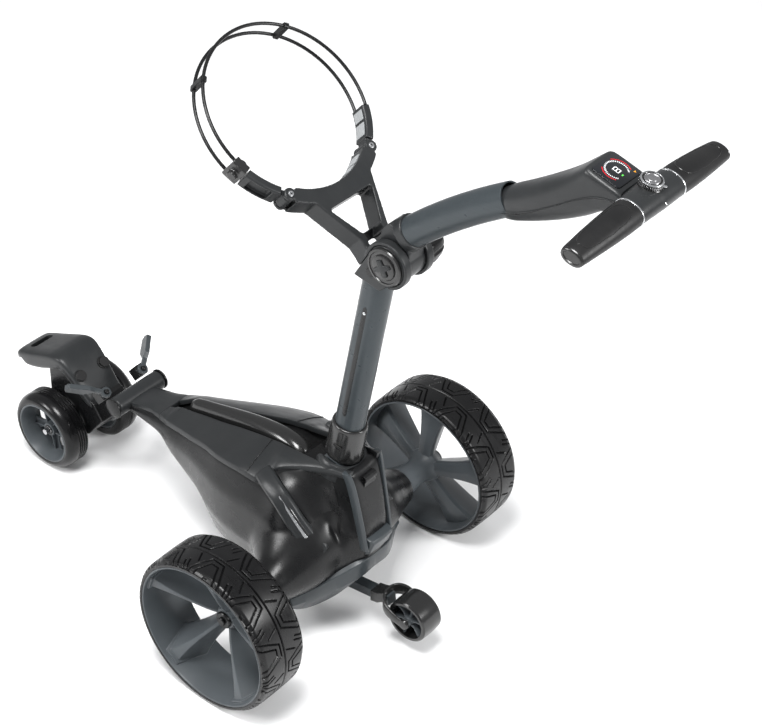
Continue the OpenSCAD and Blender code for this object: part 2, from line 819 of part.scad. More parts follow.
module grip_left() {
    grip(1);
}
module grip_right() {
    grip(-1);
}

// Speed dial: a ring that turns on a boss, with a press button in the middle
module dial_ring() {
    color(steel) dial_placed() difference() {
        union() {
            translate([0, 0, 1.5]) cylinder(h = 9, r = 18);
            translate([-24, -3, 4]) cube([8, 6, 5]);
        }
        translate([0, 0, 1]) cylinder(h = 4.6, r = 12 + running);
        translate([0, 0, 1]) cylinder(h = 20, r = 9 + running);
    }
}
module dial_button() {
    color(black) dial_placed() {
        translate([0, 0, 7.6]) cylinder(h = 3.6, r = 9);
        translate([0, 0, 2.8]) cylinder(h = 5, r = 5);
    }
}

// ---------- Front bracket and front wheels ----------

bracket_top = [
    [front_reach, 168], [684, 177], [640, 193], [588, 212], [578, 214], [566, 207], [512, 156], [500, 151],
    [470, 153], [456, 168]
];
bracket_under = [
    [456, 163], [469, 149], [500, 147], [515, 151], [568, 201], [579, 209], [586, 208], [638, 189],
    [680, 173], [685, 164], [690, 164]
];
cheek_side = [
    [front_reach, 166], [684, 177], [640, 193], [588, 212], [578, 214], [566, 207], [512, 156], [500, 151],
    [470, 155], [452, 176], [430, 187], [420, 166], [448, 121], [482, 121], [520, 134], [552, 160],
    [629, 158], [667, 163]
];
module front_bracket() {
    color(graphite) at_axle() difference() {
        union() {
            slab(concat(bracket_top, bracket_under), -45, 45);
            both_sides() slab(cheek_side, 41, 45);
            both_sides() slab([[452, 176], [430, 187], [420, 166], [448, 121], [482, 121], [482, 150]], 27, 45);
            // front lip
            slab([[front_reach, 166], [684, 177], [678, 174], [667, 163]], -45, 45);
        }
        // hand slot near the tip
        translate([660, 0, 150]) linear_extrude(100) rounded(16, 44, 4);
        translate(front_pivot) along_y(-80) cylinder(h = 160, r = front_tube_r);
        // room for the neck's clamp as it turns
        translate(front_pivot) along_y(-knuckle_half - 0.6) cylinder(h = 2 * knuckle_half + 1.2, r = front_tube_r + 8);
    }
}
fork_side = [
    [500, 146.8], [482, 120], [520, 74], [566, 52], [600, 52], [608, 84], [606, 150], [606, 200.5],
    [586, 207.8], [579, 208.8], [568, 200.8], [515, 150.8]
];
module front_fork() {
    color(graphite) at_axle() difference() {
        slab(fork_side, -34, 34);
        slab([[512, 142], [494, 121], [522, 84], [562, 66], [562, 184]], -29, 29);
        translate([wheelbase, 0, front_r]) along_y(-60) cylinder(h = 120, r = 5);
    }
}
module front_pivot_tube() {
    color(graphite) at_axle() translate(front_pivot) difference() {
        union() {
            along_y(-49) cylinder(h = 98, r = front_tube_r);
            for (s = [-1, 1]) along_y(s > 0 ? 49 : -52) cylinder(h = 3, r = front_tube_r - 2);
        }
        along_y(-60) cylinder(h = 120, r = 5);
    }
}
module front_axle() {
    color(steel) at_axle() translate([wheelbase, 0, front_r]) {
        along_y(-front_in - front_w + 6) cylinder(h = 2 * (front_in + front_w) - 12, r = 5 - running / 2);
    }
}
pad_spots = [537, 183.6];
module bag_pads() {
    rest_angle = 42.7;
    color(rubber_black) at_axle() both_sides() translate([pad_spots[0], 26, pad_spots[1]])
        rotate([0, -rest_angle, 0]) translate([0, 0, -0.5]) cylinder(h = 6, r = 9);
}
lever_pin = [459, 0, 199];
lever_half = 42;
// Frame of one side lever: origin on its pin, +Z along the bag, +X forward and up
module at_lever(side) {
    at_axle() translate([lever_pin[0], side * lever_half, lever_pin[2]]) rotate([0, -bag_tilt, 0]) children();
}
module lever_blocks() {
    for (s = [-1, 1]) color(black) at_lever(s) difference() {
        union() {
            translate([-9, -9, -26]) cube([20, 18, 22]);
            cylinder(h = 16, r = 4, center = true);
        }
        translate([-40, -20, -60]) cube([26, 40, 80]);
    }
}
module bag_lever(side) {
    reach = 62;
    color(slate) at_lever(side) rotate([0, 0, side * 50]) difference() {
        union() {
            cylinder(h = 7, r = 9, center = true);
            translate([4, -4, -3.5]) cube([22, 8, 7]);
            rotate([90, 0, 0]) translate([0, 0, -4]) linear_extrude(8)
                polygon([[20, -3.5], [34, -18], [reach, -20], [reach + 5, -12], [reach + 3, 0], [30, 7], [20, 3.5]]);
        }
        cylinder(h = 40, r = 4 + running, center = true);
    }
}
module bag_lever_left() {
    bag_lever(1);
}
module bag_lever_right() {
    bag_lever(-1);
}

// ---------- Wheels ----------

module at_rear_wheel(side) {
    at_axle() on_side(side) translate([0, 0, rear_r]) children();
}
// Tyre section, grooved round its middle and chamfered at its shoulders
module rear_tyre(side) {
    color(rubber_black) at_rear_wheel(side) along_y(rear_in) rotate_extrude() polygon([
        [rim_r + 0.1, 0], [rim_r + 9, 0], [rear_r - 5, 6], [rear_r, 18], [rear_r, rear_w / 2 - 2],
        [rear_r - 4, rear_w / 2 - 1], [rear_r - 4, rear_w / 2 + 1], [rear_r, rear_w / 2 + 2],
        [rear_r, rear_w - 18], [rear_r - 5, rear_w - 6], [rim_r + 9, rear_w], [rim_r + 0.1, rear_w]
    ]);
}
module rear_tyre_left() {
    rear_tyre(1);
}
module rear_tyre_right() {
    rear_tyre(-1);
}
spokes = 6;
module rear_rim(side) {
    color(slate) at_rear_wheel(side) difference() {
        union() {
            along_y(rear_in + 0.5) difference() {
                cylinder(h = rear_w - 1, r = rim_r);
                translate([0, 0, -1]) cylinder(h = rear_w + 2, r = rim_r - rim_wall);
            }
            along_y(rear_in + 2) cylinder(h = 34, r = hub_r);
            for (i = [0:spokes - 1]) rotate([0, i * 360 / spokes, 0])
                translate([0, rear_in + 17, hub_r - 4]) rotate([0, 0, 30]) linear_extrude(rim_r - rim_wall - hub_r + 6)
                    rounded(24, 7, 3);
        }
        along_y(rear_in - 5) cylinder(h = 35, r = axle_d / 2);
    }
}
module rear_rim_left() {
    rear_rim(1);
}
module rear_rim_right() {
    rear_rim(-1);
}
// Axle, driven by the gearbox and fixed in the wheel's hub
module rear_axle(side) {
    color(steel) at_rear_wheel(side) along_y(gear_from + 14) cylinder(h = rear_in + 30 - gear_from - 14, r = axle_d / 2);
}
module rear_axle_left() {
    rear_axle(1);
}
module rear_axle_right() {
    rear_axle(-1);
}

module at_front_wheel(side) {
    at_axle() on_side(side) translate([wheelbase, 0, front_r]) children();
}
front_rim_r = 55;
module front_tyre(side) {
    color(rubber_black) at_front_wheel(side) along_y(front_in) rotate_extrude() polygon([
        [front_rim_r + 0.1, 0], [front_r - 7, 0], [front_r - 2, 3], [front_r - 0.6, 9], [front_r - 2.5, 10],
        [front_r - 0.4, 11], [front_r - 0.2, 15], [front_r - 2.5, 16], [front_r, 17], [front_r, front_w - 14],
        [front_r - 2, front_w - 6], [front_r - 6, front_w - 1], [front_r - 9, front_w], [front_rim_r + 0.1, front_w]
    ]);
}
module front_tyre_left() {
    front_tyre(1);
}
module front_tyre_right() {
    front_tyre(-1);
}
module front_rim(side) {
    color(slate) at_front_wheel(side) difference() {
        union() {
            along_y(front_in + 0.5) difference() {
                cylinder(h = front_w - 1, r = front_rim_r);
                translate([0, 0, -1]) cylinder(h = front_w + 2, r = front_rim_r - 3);
            }
            along_y(front_in + 2) cylinder(h = front_w - 10, r = 10);
            along_y(front_in + 14) difference() {
                cylinder(h = 5, r = front_rim_r - 1);
                // openings between the spokes
                for (i = [0:4]) rotate([0, 0, i * 72 + 36]) translate([32, 0, -1]) cylinder(h = 8, r = 12);
            }
        }
        along_y(front_in - 5) cylinder(h = front_w + 10, r = 5 + running);
    }
}
module front_rim_left() {
    front_rim(1);
}
module front_rim_right() {
    front_rim(-1);
}

neck_frame();
top_cover();
valley_duct();
rear_casing();
rear_band();
belly_pan();
mast_cradle();
battery_pack();
controller_box();
motor_left();
motor_right();
gearbox_left();
gearbox_right();
axle_housing_left();
axle_housing_right();
anti_tip_arm();
anti_tip_fork();
anti_tip_axle();
anti_tip_wheel();
mast_latch_lever();
mast_foot();
mast_collar();
mast_tube();
mast_head();
handle_pivot_pin();
bag_bracket();
hub_sleeve();
handle_elbow();
handle_tube();
console_base();
console_cover();
screen_glass();
bar_core();
grip_left();
grip_right();
dial_ring();
dial_button();
strap_arm_left();
strap_arm_right();
strap_buckle();
strap_cords();
front_bracket();
front_fork();
front_pivot_tube();
bag_pads();
front_axle();
lever_blocks();
bag_lever_left();
bag_lever_right();
rear_tyre_left();
rear_tyre_right();
rear_rim_left();
rear_rim_right();
rear_axle_left();
rear_axle_right();
front_tyre_left();
front_tyre_right();
front_rim_left();
front_rim_right();
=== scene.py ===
import logging
import math
from dataclasses import dataclass, field
from enum import Enum

import bpy
import numpy as np
from mathutils import Matrix, Vector


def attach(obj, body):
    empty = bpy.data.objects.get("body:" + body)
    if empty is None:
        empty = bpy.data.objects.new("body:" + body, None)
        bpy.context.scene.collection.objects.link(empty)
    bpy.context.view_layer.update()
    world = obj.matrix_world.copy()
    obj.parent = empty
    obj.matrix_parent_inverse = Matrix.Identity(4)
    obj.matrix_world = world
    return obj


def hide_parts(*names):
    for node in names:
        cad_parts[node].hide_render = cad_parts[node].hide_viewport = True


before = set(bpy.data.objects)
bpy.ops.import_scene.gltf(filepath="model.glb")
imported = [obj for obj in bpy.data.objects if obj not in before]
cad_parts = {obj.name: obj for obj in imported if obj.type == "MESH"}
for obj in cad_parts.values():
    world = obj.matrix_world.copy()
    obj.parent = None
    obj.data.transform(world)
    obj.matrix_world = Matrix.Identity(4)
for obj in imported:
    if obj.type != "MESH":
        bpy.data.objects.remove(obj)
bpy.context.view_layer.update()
LOG = logging.getLogger("trolley")
Point2 = tuple[float, float]
Point3 = tuple[float, float, float]
AXLE_X = -0.085


def at(x: float, y: float, z: float) -> Vector:
    """Place, in metres, of a point given in millimetres from the rear axle's ground point."""
    return Vector((x / 1000 + AXLE_X, y / 1000, z / 1000))


def mm(values: list[Point2]) -> list[Point2]:
    """The same flat points in metres."""
    return [(a / 1000, b / 1000) for a, b in values]


# ---------------------------------------------------------------- hand tools


class Bench:
    """The modelling tools that every piece is made with."""

    @staticmethod
    def clear() -> None:
        """Leave edit mode and deselect everything."""
        if bpy.context.object is not None and bpy.context.object.mode != "OBJECT":
            bpy.ops.object.mode_set(mode="OBJECT")
        bpy.ops.object.select_all(action="DESELECT")

    @staticmethod
    def pick(obj: bpy.types.Object) -> None:
        """Select one object and make it the active one."""
        Bench.clear()
        obj.select_set(True)
        bpy.context.view_layer.objects.active = obj

    @staticmethod
    def outline(name: str, points: list[Point2]) -> bpy.types.Object:
        """Flat face in local X-Y.

        Args:
            name: the piece's name.
            points: its corners in order.

        Returns:
            The new object.
        """
        Bench.clear()
        bpy.ops.mesh.primitive_circle_add(vertices=len(points), radius=1, fill_type="NGON")
        obj = bpy.context.object
        obj.name = name
        obj.data.name = name
        for vertex, (a, b) in zip(obj.data.vertices, points):
            vertex.co = (a, b, 0)
        return obj

    @staticmethod
    def extrude(obj: bpy.types.Object, height: float) -> None:
        """Raise a flat face into a solid along local Z."""
        Bench.pick(obj)
        bpy.ops.object.mode_set(mode="EDIT")
        bpy.ops.mesh.select_all(action="SELECT")
        bpy.ops.mesh.extrude_region_move(TRANSFORM_OT_translate={"value": (0, 0, height)})
        bpy.ops.mesh.select_all(action="SELECT")
        bpy.ops.mesh.normals_make_consistent(inside=False)
        bpy.ops.object.mode_set(mode="OBJECT")

    @staticmethod
    def place(obj: bpy.types.Object, matrix: Matrix) -> bpy.types.Object:
        """Put a finished shape at its place, with the place in its mesh."""
        Bench.pick(obj)
        obj.matrix_world = matrix
        bpy.ops.object.transform_apply(location=True, rotation=True, scale=True)
        if matrix.determinant() < 0:
            Bench.outward(obj)
        return obj

    @staticmethod
    def outward(obj: bpy.types.Object, merge: float = 1e-6) -> None:
        """Merge doubles and point every face outwards."""
        Bench.pick(obj)
        bpy.ops.object.mode_set(mode="EDIT")
        bpy.ops.mesh.select_all(action="SELECT")
        bpy.ops.mesh.remove_doubles(threshold=merge)
        bpy.ops.mesh.normals_make_consistent(inside=False)
        bpy.ops.object.mode_set(mode="OBJECT")

    @staticmethod
    def finish(obj: bpy.types.Object, kind: str, **values: object) -> None:
        """Add a modifier with the given values and apply it."""
        Bench.pick(obj)
        modifier = obj.modifiers.new(kind.title(), kind)
        for key, value in values.items():
            setattr(modifier, key, value)
        bpy.ops.object.modifier_apply(modifier=modifier.name)

    @staticmethod
    def bevel(obj: bpy.types.Object, width: float, segments: int = 2, angle: float = 30) -> None:
        """Round every edge sharper than angle."""
        Bench.finish(obj, "BEVEL", width=width, segments=segments, limit_method="ANGLE",
                     angle_limit=math.radians(angle), harden_normals=False, use_clamp_overlap=True)

    @staticmethod
    def smooth(obj: bpy.types.Object, angle: float = 35) -> None:
        """Smooth shading across edges flatter than angle."""
        Bench.pick(obj)
        bpy.ops.object.shade_smooth_by_angle(angle=math.radians(angle))

    @staticmethod
    def cut(obj: bpy.types.Object, tool: bpy.types.Object, operation: str = "DIFFERENCE") -> None:
        """Cut obj with tool, or join or intersect them, and remove the tool."""
        Bench.finish(obj, "BOOLEAN", object=tool, operation=operation, solver="EXACT")
        bpy.data.objects.remove(tool)

    @staticmethod
    def plate(name: str, points: list[Point2], thickness: float, matrix: Matrix,
              round_by: float = 0.0006, segments: int = 2) -> bpy.types.Object:
        """Flat outline made solid, with rounded edges, at its place.

        Args:
            name: the piece's name.
            points: the outline in local X-Y, in metres.
            thickness: how far it is extruded along local Z.
            matrix: its place.
            round_by: width of the edge rounding, 0 for none.
            segments: steps of the rounding.

        Returns:
            The new piece.
        """
        obj = Bench.outline(name, points)
        Bench.extrude(obj, thickness)
        if round_by > 0:
            Bench.bevel(obj, round_by, segments)
        Bench.place(obj, matrix)
        Bench.smooth(obj)
        return obj

    @staticmethod
    def turned(name: str, profile: list[Point2], matrix: Matrix, steps: int = 96,
               closed: bool = True) -> bpy.types.Object:
        """Solid of revolution.

        Args:
            name: the piece's name.
            profile: points (radius, height) round the section, in metres.
            matrix: place of the turning axis, local Z.
            steps: facets round the axis.
            closed: whether the section's last point joins its first.

        Returns:
            The new piece.
        """
        Bench.clear()
        bpy.ops.mesh.primitive_circle_add(vertices=len(profile), radius=1, fill_type="NOTHING")
        obj = bpy.context.object
        obj.name = name
        obj.data.name = name
        for vertex, (r, h) in zip(obj.data.vertices, profile):
            vertex.co = (r, 0, h)
        if not closed:
            Bench.open_ring(obj)
        bpy.ops.object.mode_set(mode="EDIT")
        bpy.ops.mesh.select_all(action="SELECT")
        bpy.ops.mesh.spin(steps=steps, angle=2 * math.pi, center=(0, 0, 0), axis=(0, 0, 1))
        bpy.ops.mesh.select_all(action="SELECT")
        bpy.ops.mesh.remove_doubles(threshold=1e-6)
        bpy.ops.mesh.normals_make_consistent(inside=False)
        bpy.ops.object.mode_set(mode="OBJECT")
        Bench.place(obj, matrix)
        Bench.smooth(obj)
        return obj

    @staticmethod
    def open_ring(obj: bpy.types.Object) -> None:
        """Take out the edge that joins a ring's last corner to its first."""
        last = len(obj.data.vertices) - 1
        Bench.pick(obj)
        bpy.ops.object.mode_set(mode="EDIT")
        bpy.ops.mesh.select_all(action="DESELECT")
        bpy.ops.mesh.select_mode(type="EDGE")
        bpy.ops.object.mode_set(mode="OBJECT")
        for edge in obj.data.edges:
            edge.select = set(edge.vertices) == {0, last}
        bpy.ops.object.mode_set(mode="EDIT")
        bpy.ops.mesh.delete(type="EDGE")
        bpy.ops.mesh.select_mode(type="VERT")
        bpy.ops.object.mode_set(mode="OBJECT")

    @staticmethod
    def skin(name: str, rows: list[list[Point3]], closed: bool = True, caps: bool = True) -> bpy.types.Object:
        """Surface through rows of points that all have the same count.

        Args:
            name: the piece's name.
            rows: the rows, each a list of places in metres.
            closed: whether each row is a loop.
            caps: whether the first and last rows are filled.

        Returns:
            The new piece.
        """
        across = len(rows[0]) + (1 if closed else 0)
        Bench.clear()
        bpy.ops.mesh.primitive_grid_add(x_subdivisions=across - 1, y_subdivisions=len(rows) - 1, size=1)
        obj = bpy.context.object
        obj.name = name
        obj.data.name = name
        flat = [row[i % len(row)] for row in rows for i in range(across)]
        obj.data.vertices.foreach_set("co", np.array(flat, np.float32).ravel())
        obj.matrix_world = Matrix.Identity(4)
        bpy.ops.object.mode_set(mode="EDIT")
        bpy.ops.mesh.select_all(action="SELECT")
        bpy.ops.mesh.remove_doubles(threshold=1e-6)
        if closed and caps:
            bpy.ops.mesh.select_all(action="DESELECT")
            bpy.ops.mesh.select_non_manifold()
            bpy.ops.mesh.fill_holes(sides=0)
        bpy.ops.mesh.select_all(action="SELECT")
        bpy.ops.mesh.normals_make_consistent(inside=False)
        bpy.ops.object.mode_set(mode="OBJECT")
        return obj

    @staticmethod
    def twin(obj: bpy.types.Object, name: str, matrix: Matrix) -> bpy.types.Object:
        """Copy of a piece, with its own mesh, moved by matrix."""
        Bench.pick(obj)
        bpy.ops.object.duplicate(linked=False)
        copy = bpy.context.object
        copy.name = name
        copy.data.name = name
        return Bench.place(copy, matrix @ copy.matrix_world)

    @staticmethod
    def join(pieces: list[bpy.types.Object], name: str) -> bpy.types.Object:
        """One object from several."""
        Bench.clear()
        for piece in pieces:
            piece.select_set(True)
        bpy.context.view_layer.objects.active = pieces[0]
        bpy.ops.object.join()
        obj = bpy.context.object
        obj.name = name
        obj.data.name = name
        return obj

    @staticmethod
    def wire(name: str, path: list[Point3], radius: float, sides: int = 10,
             loop: bool = False) -> bpy.types.Object:
        """Round bar along a path of places in metres."""
        curve = bpy.data.curves.new(name, "CURVE")
        curve.dimensions = "3D"
        curve.bevel_depth = radius
        curve.bevel_resolution = max(1, sides // 4)
        curve.use_fill_caps = True
        spline = curve.splines.new("POLY")
        spline.points.add(len(path) - 1)
        for point, place in zip(spline.points, path):
            point.co = (*place, 1)
        spline.use_cyclic_u = loop
        obj = bpy.data.objects.new(name, curve)
        bpy.context.scene.collection.objects.link(obj)
        Bench.pick(obj)
        bpy.ops.object.convert(target="MESH")
        obj = bpy.context.object
        Bench.outward(obj)
        Bench.smooth(obj, 50)
        return obj


def flow(rows: list[list[Point3]], count: int) -> list[list[Point3]]:
    """Evenly spread rows on the smooth curves that run through the given rows."""
    data = np.array([[tuple(p) for p in row] for row in rows], float)
    ends = np.concatenate([2 * data[:1] - data[1:2], data, 2 * data[-1:] - data[-2:-1]])
    result = []
    for t in np.linspace(0, len(rows) - 1, count):
        i = min(int(t), len(rows) - 2)
        f = t - i
        a, b, c, d = ends[i:i + 4]
        row = 0.5 * (2 * b + (c - a) * f + (2 * a - 5 * b + 4 * c - d) * f ** 2
                     + (3 * b - a - 3 * c + d) * f ** 3)
        result.append([tuple(p) for p in row])
    return result


def axis_y(place: Vector, side: float = 1) -> Matrix:
    """Matrix that lays local Z along +Y at a place, or along -Y where side is below zero."""
    turn = Matrix.Rotation(math.radians(-90), 4, "X")
    flip = Matrix.Scale(-1, 4, Vector((0, 1, 0))) if side < 0 else Matrix.Identity(4)
    return Matrix.Translation(place) @ flip @ turn


def in_xz(place: Vector, from_y: float = 0.0) -> Matrix:
    """Matrix that lays local X-Y onto the row's X-Z plane, with local Z along -Y."""
    return Matrix.Translation(place + Vector((0, from_y, 0))) @ Matrix.Rotation(math.radians(90), 4, "X")


def rounded_box(length: float, width: float, radius: float, steps: int = 5) -> list[Point2]:
    """Outline of a rectangle with round corners, centred."""
    points = []
    for cx, cy, start in ((1, 1, 0), (-1, 1, 90), (-1, -1, 180), (1, -1, 270)):
        for i in range(steps + 1):
            a = math.radians(start + 90 * i / steps)
            points.append((cx * (length / 2 - radius) + radius * math.cos(a),
                           cy * (width / 2 - radius) + radius * math.sin(a)))
    return points


# ---------------------------------------------------------------- finishes


class Nodes:
    """Small writer for one shader tree."""

    def __init__(self, tree: bpy.types.NodeTree) -> None:
        """Start with an empty tree."""
        self.tree = tree
        tree.nodes.clear()

    def add(self, kind: str, **values: object) -> bpy.types.Node:
        """New node; values set its properties or, by socket name, its inputs."""
        node = self.tree.nodes.new(kind)
        for key, value in values.items():
            if hasattr(node, key):
                setattr(node, key, value)
            else:
                node.inputs[key.replace("_", " ")].default_value = value
        return node

    def join(self, source: bpy.types.NodeSocket, target: bpy.types.NodeSocket) -> None:
        """Link two sockets."""
        self.tree.links.new(source, target)

    def maths(self, operation: str, a: object, b: object = 0.0, clamp: bool = False) -> bpy.types.NodeSocket:
        """Result of a math node whose inputs are sockets or numbers."""
        node = self.tree.nodes.new("ShaderNodeMath")
        node.operation = operation
        node.use_clamp = clamp
        for i, value in enumerate((a, b)):
            if isinstance(value, bpy.types.NodeSocket):
                self.join(value, node.inputs[i])
            else:
                node.inputs[i].default_value = value
        return node.outputs[0]

    def blend(self, factor: object, a: object, b: object) -> bpy.types.NodeSocket:
        """Colour between a and b."""
        node = self.tree.nodes.new("ShaderNodeMix")
        node.data_type = "RGBA"
        for socket, value in zip((node.inputs[0], node.inputs[6], node.inputs[7]), (factor, a, b)):
            if isinstance(value, bpy.types.NodeSocket):
                self.join(value, socket)
            elif isinstance(value, (int, float)):
                socket.default_value = value
            else:
                socket.default_value = (*value, 1)
        return node.outputs[2]

    def range(self, value: bpy.types.NodeSocket, low: float, high: float, to_low: float = 0.0,
              to_high: float = 1.0) -> bpy.types.NodeSocket:
        """Value moved from one range to another, clamped."""
        node = self.tree.nodes.new("ShaderNodeMapRange")
        self.join(value, node.inputs[0])
        for i, number in enumerate((low, high, to_low, to_high)):
            node.inputs[i + 1].default_value = number
        return node.outputs[0]


class Effect(Enum):
    """Effects that several finishes share, each one shader group."""

    GRAIN = "moulded_grain"
    EDGE = "edge_wear_and_highlight"
    DUST = "dust_film"
    SCUFF = "handling_marks"
    BRUSH = "drawn_lines"


class Effects:
    """Builds each shared effect once."""

    made: dict[Effect, bpy.types.NodeTree] = {}

    @classmethod
    def get(cls, effect: Effect) -> bpy.types.NodeTree:
        """The group of an effect, made on first use."""
        if effect not in cls.made:
            cls.made[effect] = getattr(cls, "_" + effect.name.lower())()
        return cls.made[effect]

    @staticmethod
    def _group(name: str, inputs: list[tuple[str, str, float]], outputs: list[tuple[str, str]]) -> tuple[
            Nodes, bpy.types.Node, bpy.types.Node]:
        """Empty group with its sockets: (writer, input node, output node)."""
        tree = bpy.data.node_groups.new(name, "ShaderNodeTree")
        for label, kind, default in inputs:
            socket = tree.interface.new_socket(name=label, in_out="INPUT", socket_type=kind)
            if kind == "NodeSocketFloat":
                socket.default_value = default
        for label, kind in outputs:
            tree.interface.new_socket(name=label, in_out="OUTPUT", socket_type=kind)
        nodes = Nodes(tree)
        return nodes, nodes.add("NodeGroupInput"), nodes.add("NodeGroupOutput")

    @staticmethod
    def _grain() -> bpy.types.NodeTree:
        """Fine pebbled texture of moulded plastic: Height and Mask."""
        nodes, source, out = Effects._group(
            "moulded_grain", [("Vector", "NodeSocketVector", 0), ("Scale", "NodeSocketFloat", 900)],
            [("Height", "NodeSocketFloat"), ("Mask", "NodeSocketFloat")])
        fine = nodes.add("ShaderNodeTexNoise", Detail=3.0, Roughness=0.6)
        cells = nodes.add("ShaderNodeTexVoronoi", feature="F1")
        broad = nodes.add("ShaderNodeTexNoise", Scale=14.0, Detail=3.0)
        for node in (fine, cells, broad):
            nodes.join(source.outputs["Vector"], node.inputs["Vector"])
        for node in (fine, cells):
            nodes.join(source.outputs["Scale"], node.inputs["Scale"])
        mixed = nodes.maths("MULTIPLY_ADD", cells.outputs["Distance"], 0.5)
        nodes.join(fine.outputs["Fac"], mixed.node.inputs[2])
        nodes.join(mixed, out.inputs["Height"])
        nodes.join(nodes.range(broad.outputs["Fac"], 0.3, 0.7), out.inputs["Mask"])
        return nodes.tree

    @staticmethod
    def _edge() -> bpy.types.NodeTree:
        """Rounded edges, and a mask that lightens them partly as rubbed wear and partly as a painted
        highlight: Mask and Normal.
        """
        nodes, source, out = Effects._group(
            "edge_wear_and_highlight", [("Vector", "NodeSocketVector", 0), ("Radius", "NodeSocketFloat", 0.001)],
            [("Mask", "NodeSocketFloat"), ("Normal", "NodeSocketVector")])
        bevel = nodes.add("ShaderNodeBevel", samples=4)
        nodes.join(source.outputs["Radius"], bevel.inputs["Radius"])
        facing = nodes.add("ShaderNodeNewGeometry")
        dot = nodes.add("ShaderNodeVectorMath", operation="DOT_PRODUCT")
        nodes.join(bevel.outputs[0], dot.inputs[0])
        nodes.join(facing.outputs["Normal"], dot.inputs[1])
        bent = nodes.range(nodes.maths("SUBTRACT", 1.0, dot.outputs["Value"]), 0.02, 0.2)
        patchy = nodes.add("ShaderNodeTexNoise", Scale=60.0, Detail=4.0)
        nodes.join(source.outputs["Vector"], patchy.inputs["Vector"])
        rubbed = nodes.range(patchy.outputs["Fac"], 0.35, 0.65)
        nodes.join(nodes.maths("MULTIPLY", bent, rubbed), out.inputs["Mask"])
        nodes.join(bevel.outputs[0], out.inputs["Normal"])
        return nodes.tree

    @staticmethod
    def _dust() -> bpy.types.NodeTree:
        """Thin dust on faces that look up: Mask."""
        nodes, source, out = Effects._group(
            "dust_film", [("Vector", "NodeSocketVector", 0), ("Amount", "NodeSocketFloat", 0.1)],
            [("Mask", "NodeSocketFloat")])
        facing = nodes.add("ShaderNodeNewGeometry")
        parts = nodes.add("ShaderNodeSeparateXYZ")
        nodes.join(facing.outputs["Normal"], parts.inputs[0])
        upward = nodes.range(parts.outputs["Z"], 0.2, 1.0)
        cloud = nodes.add("ShaderNodeTexNoise", Scale=22.0, Detail=5.0)
        nodes.join(source.outputs["Vector"], cloud.inputs["Vector"])
        uneven = nodes.range(cloud.outputs["Fac"], 0.35, 0.75)
        both = nodes.maths("MULTIPLY", upward, uneven)
        nodes.join(nodes.maths("MULTIPLY", both, source.outputs["Amount"]), out.inputs["Mask"])
        return nodes.tree

    @staticmethod
    def _scuff() -> bpy.types.NodeTree:
        """Faint wiping marks that change the gloss: Mask."""
        nodes, source, out = Effects._group(
            "handling_marks", [("Vector", "NodeSocketVector", 0), ("Scale", "NodeSocketFloat", 30)],
            [("Mask", "NodeSocketFloat")])
        stretch = nodes.add("ShaderNodeMapping")
        stretch.inputs["Scale"].default_value = (1.0, 3.5, 1.6)
        stretch.inputs["Rotation"].default_value = (0.4, 0.2, 0.7)
        nodes.join(source.outputs["Vector"], stretch.inputs["Vector"])
        cloud = nodes.add("ShaderNodeTexNoise", Detail=6.0, Roughness=0.65, Distortion=0.6)
        nodes.join(stretch.outputs[0], cloud.inputs["Vector"])
        nodes.join(source.outputs["Scale"], cloud.inputs["Scale"])
        nodes.join(nodes.range(cloud.outputs["Fac"], 0.35, 0.7), out.inputs["Mask"])
        return nodes.tree

    @staticmethod
    def _brush() -> bpy.types.NodeTree:
        """Fine lines along X of the given vector: Height and Mask."""
        nodes, source, out = Effects._group(
            "drawn_lines", [("Vector", "NodeSocketVector", 0), ("Scale", "NodeSocketFloat", 400)],
            [("Height", "NodeSocketFloat"), ("Mask", "NodeSocketFloat")])
        stretch = nodes.add("ShaderNodeMapping")
        stretch.inputs["Scale"].default_value = (0.02, 1.0, 1.0)
        nodes.join(source.outputs["Vector"], stretch.inputs["Vector"])
        lines = nodes.add("ShaderNodeTexNoise", Detail=3.0)
        nodes.join(stretch.outputs[0], lines.inputs["Vector"])
        nodes.join(source.outputs["Scale"], lines.inputs["Scale"])
        nodes.join(lines.outputs["Fac"], out.inputs["Height"])
        nodes.join(nodes.range(lines.outputs["Fac"], 0.3, 0.7), out.inputs["Mask"])
        return nodes.tree


DUST_COLOR: tuple[float, float, float] = (0.42, 0.40, 0.37)
DEEP_TONE: float = 0.86
# Lift of the edge colour: partly rubbed wear, partly a painted highlight along rounded edges.
EDGE_WEAR_AND_HIGHLIGHT_LIFT: float = 0.012
BUMP_DISTANCE: float = 0.0004


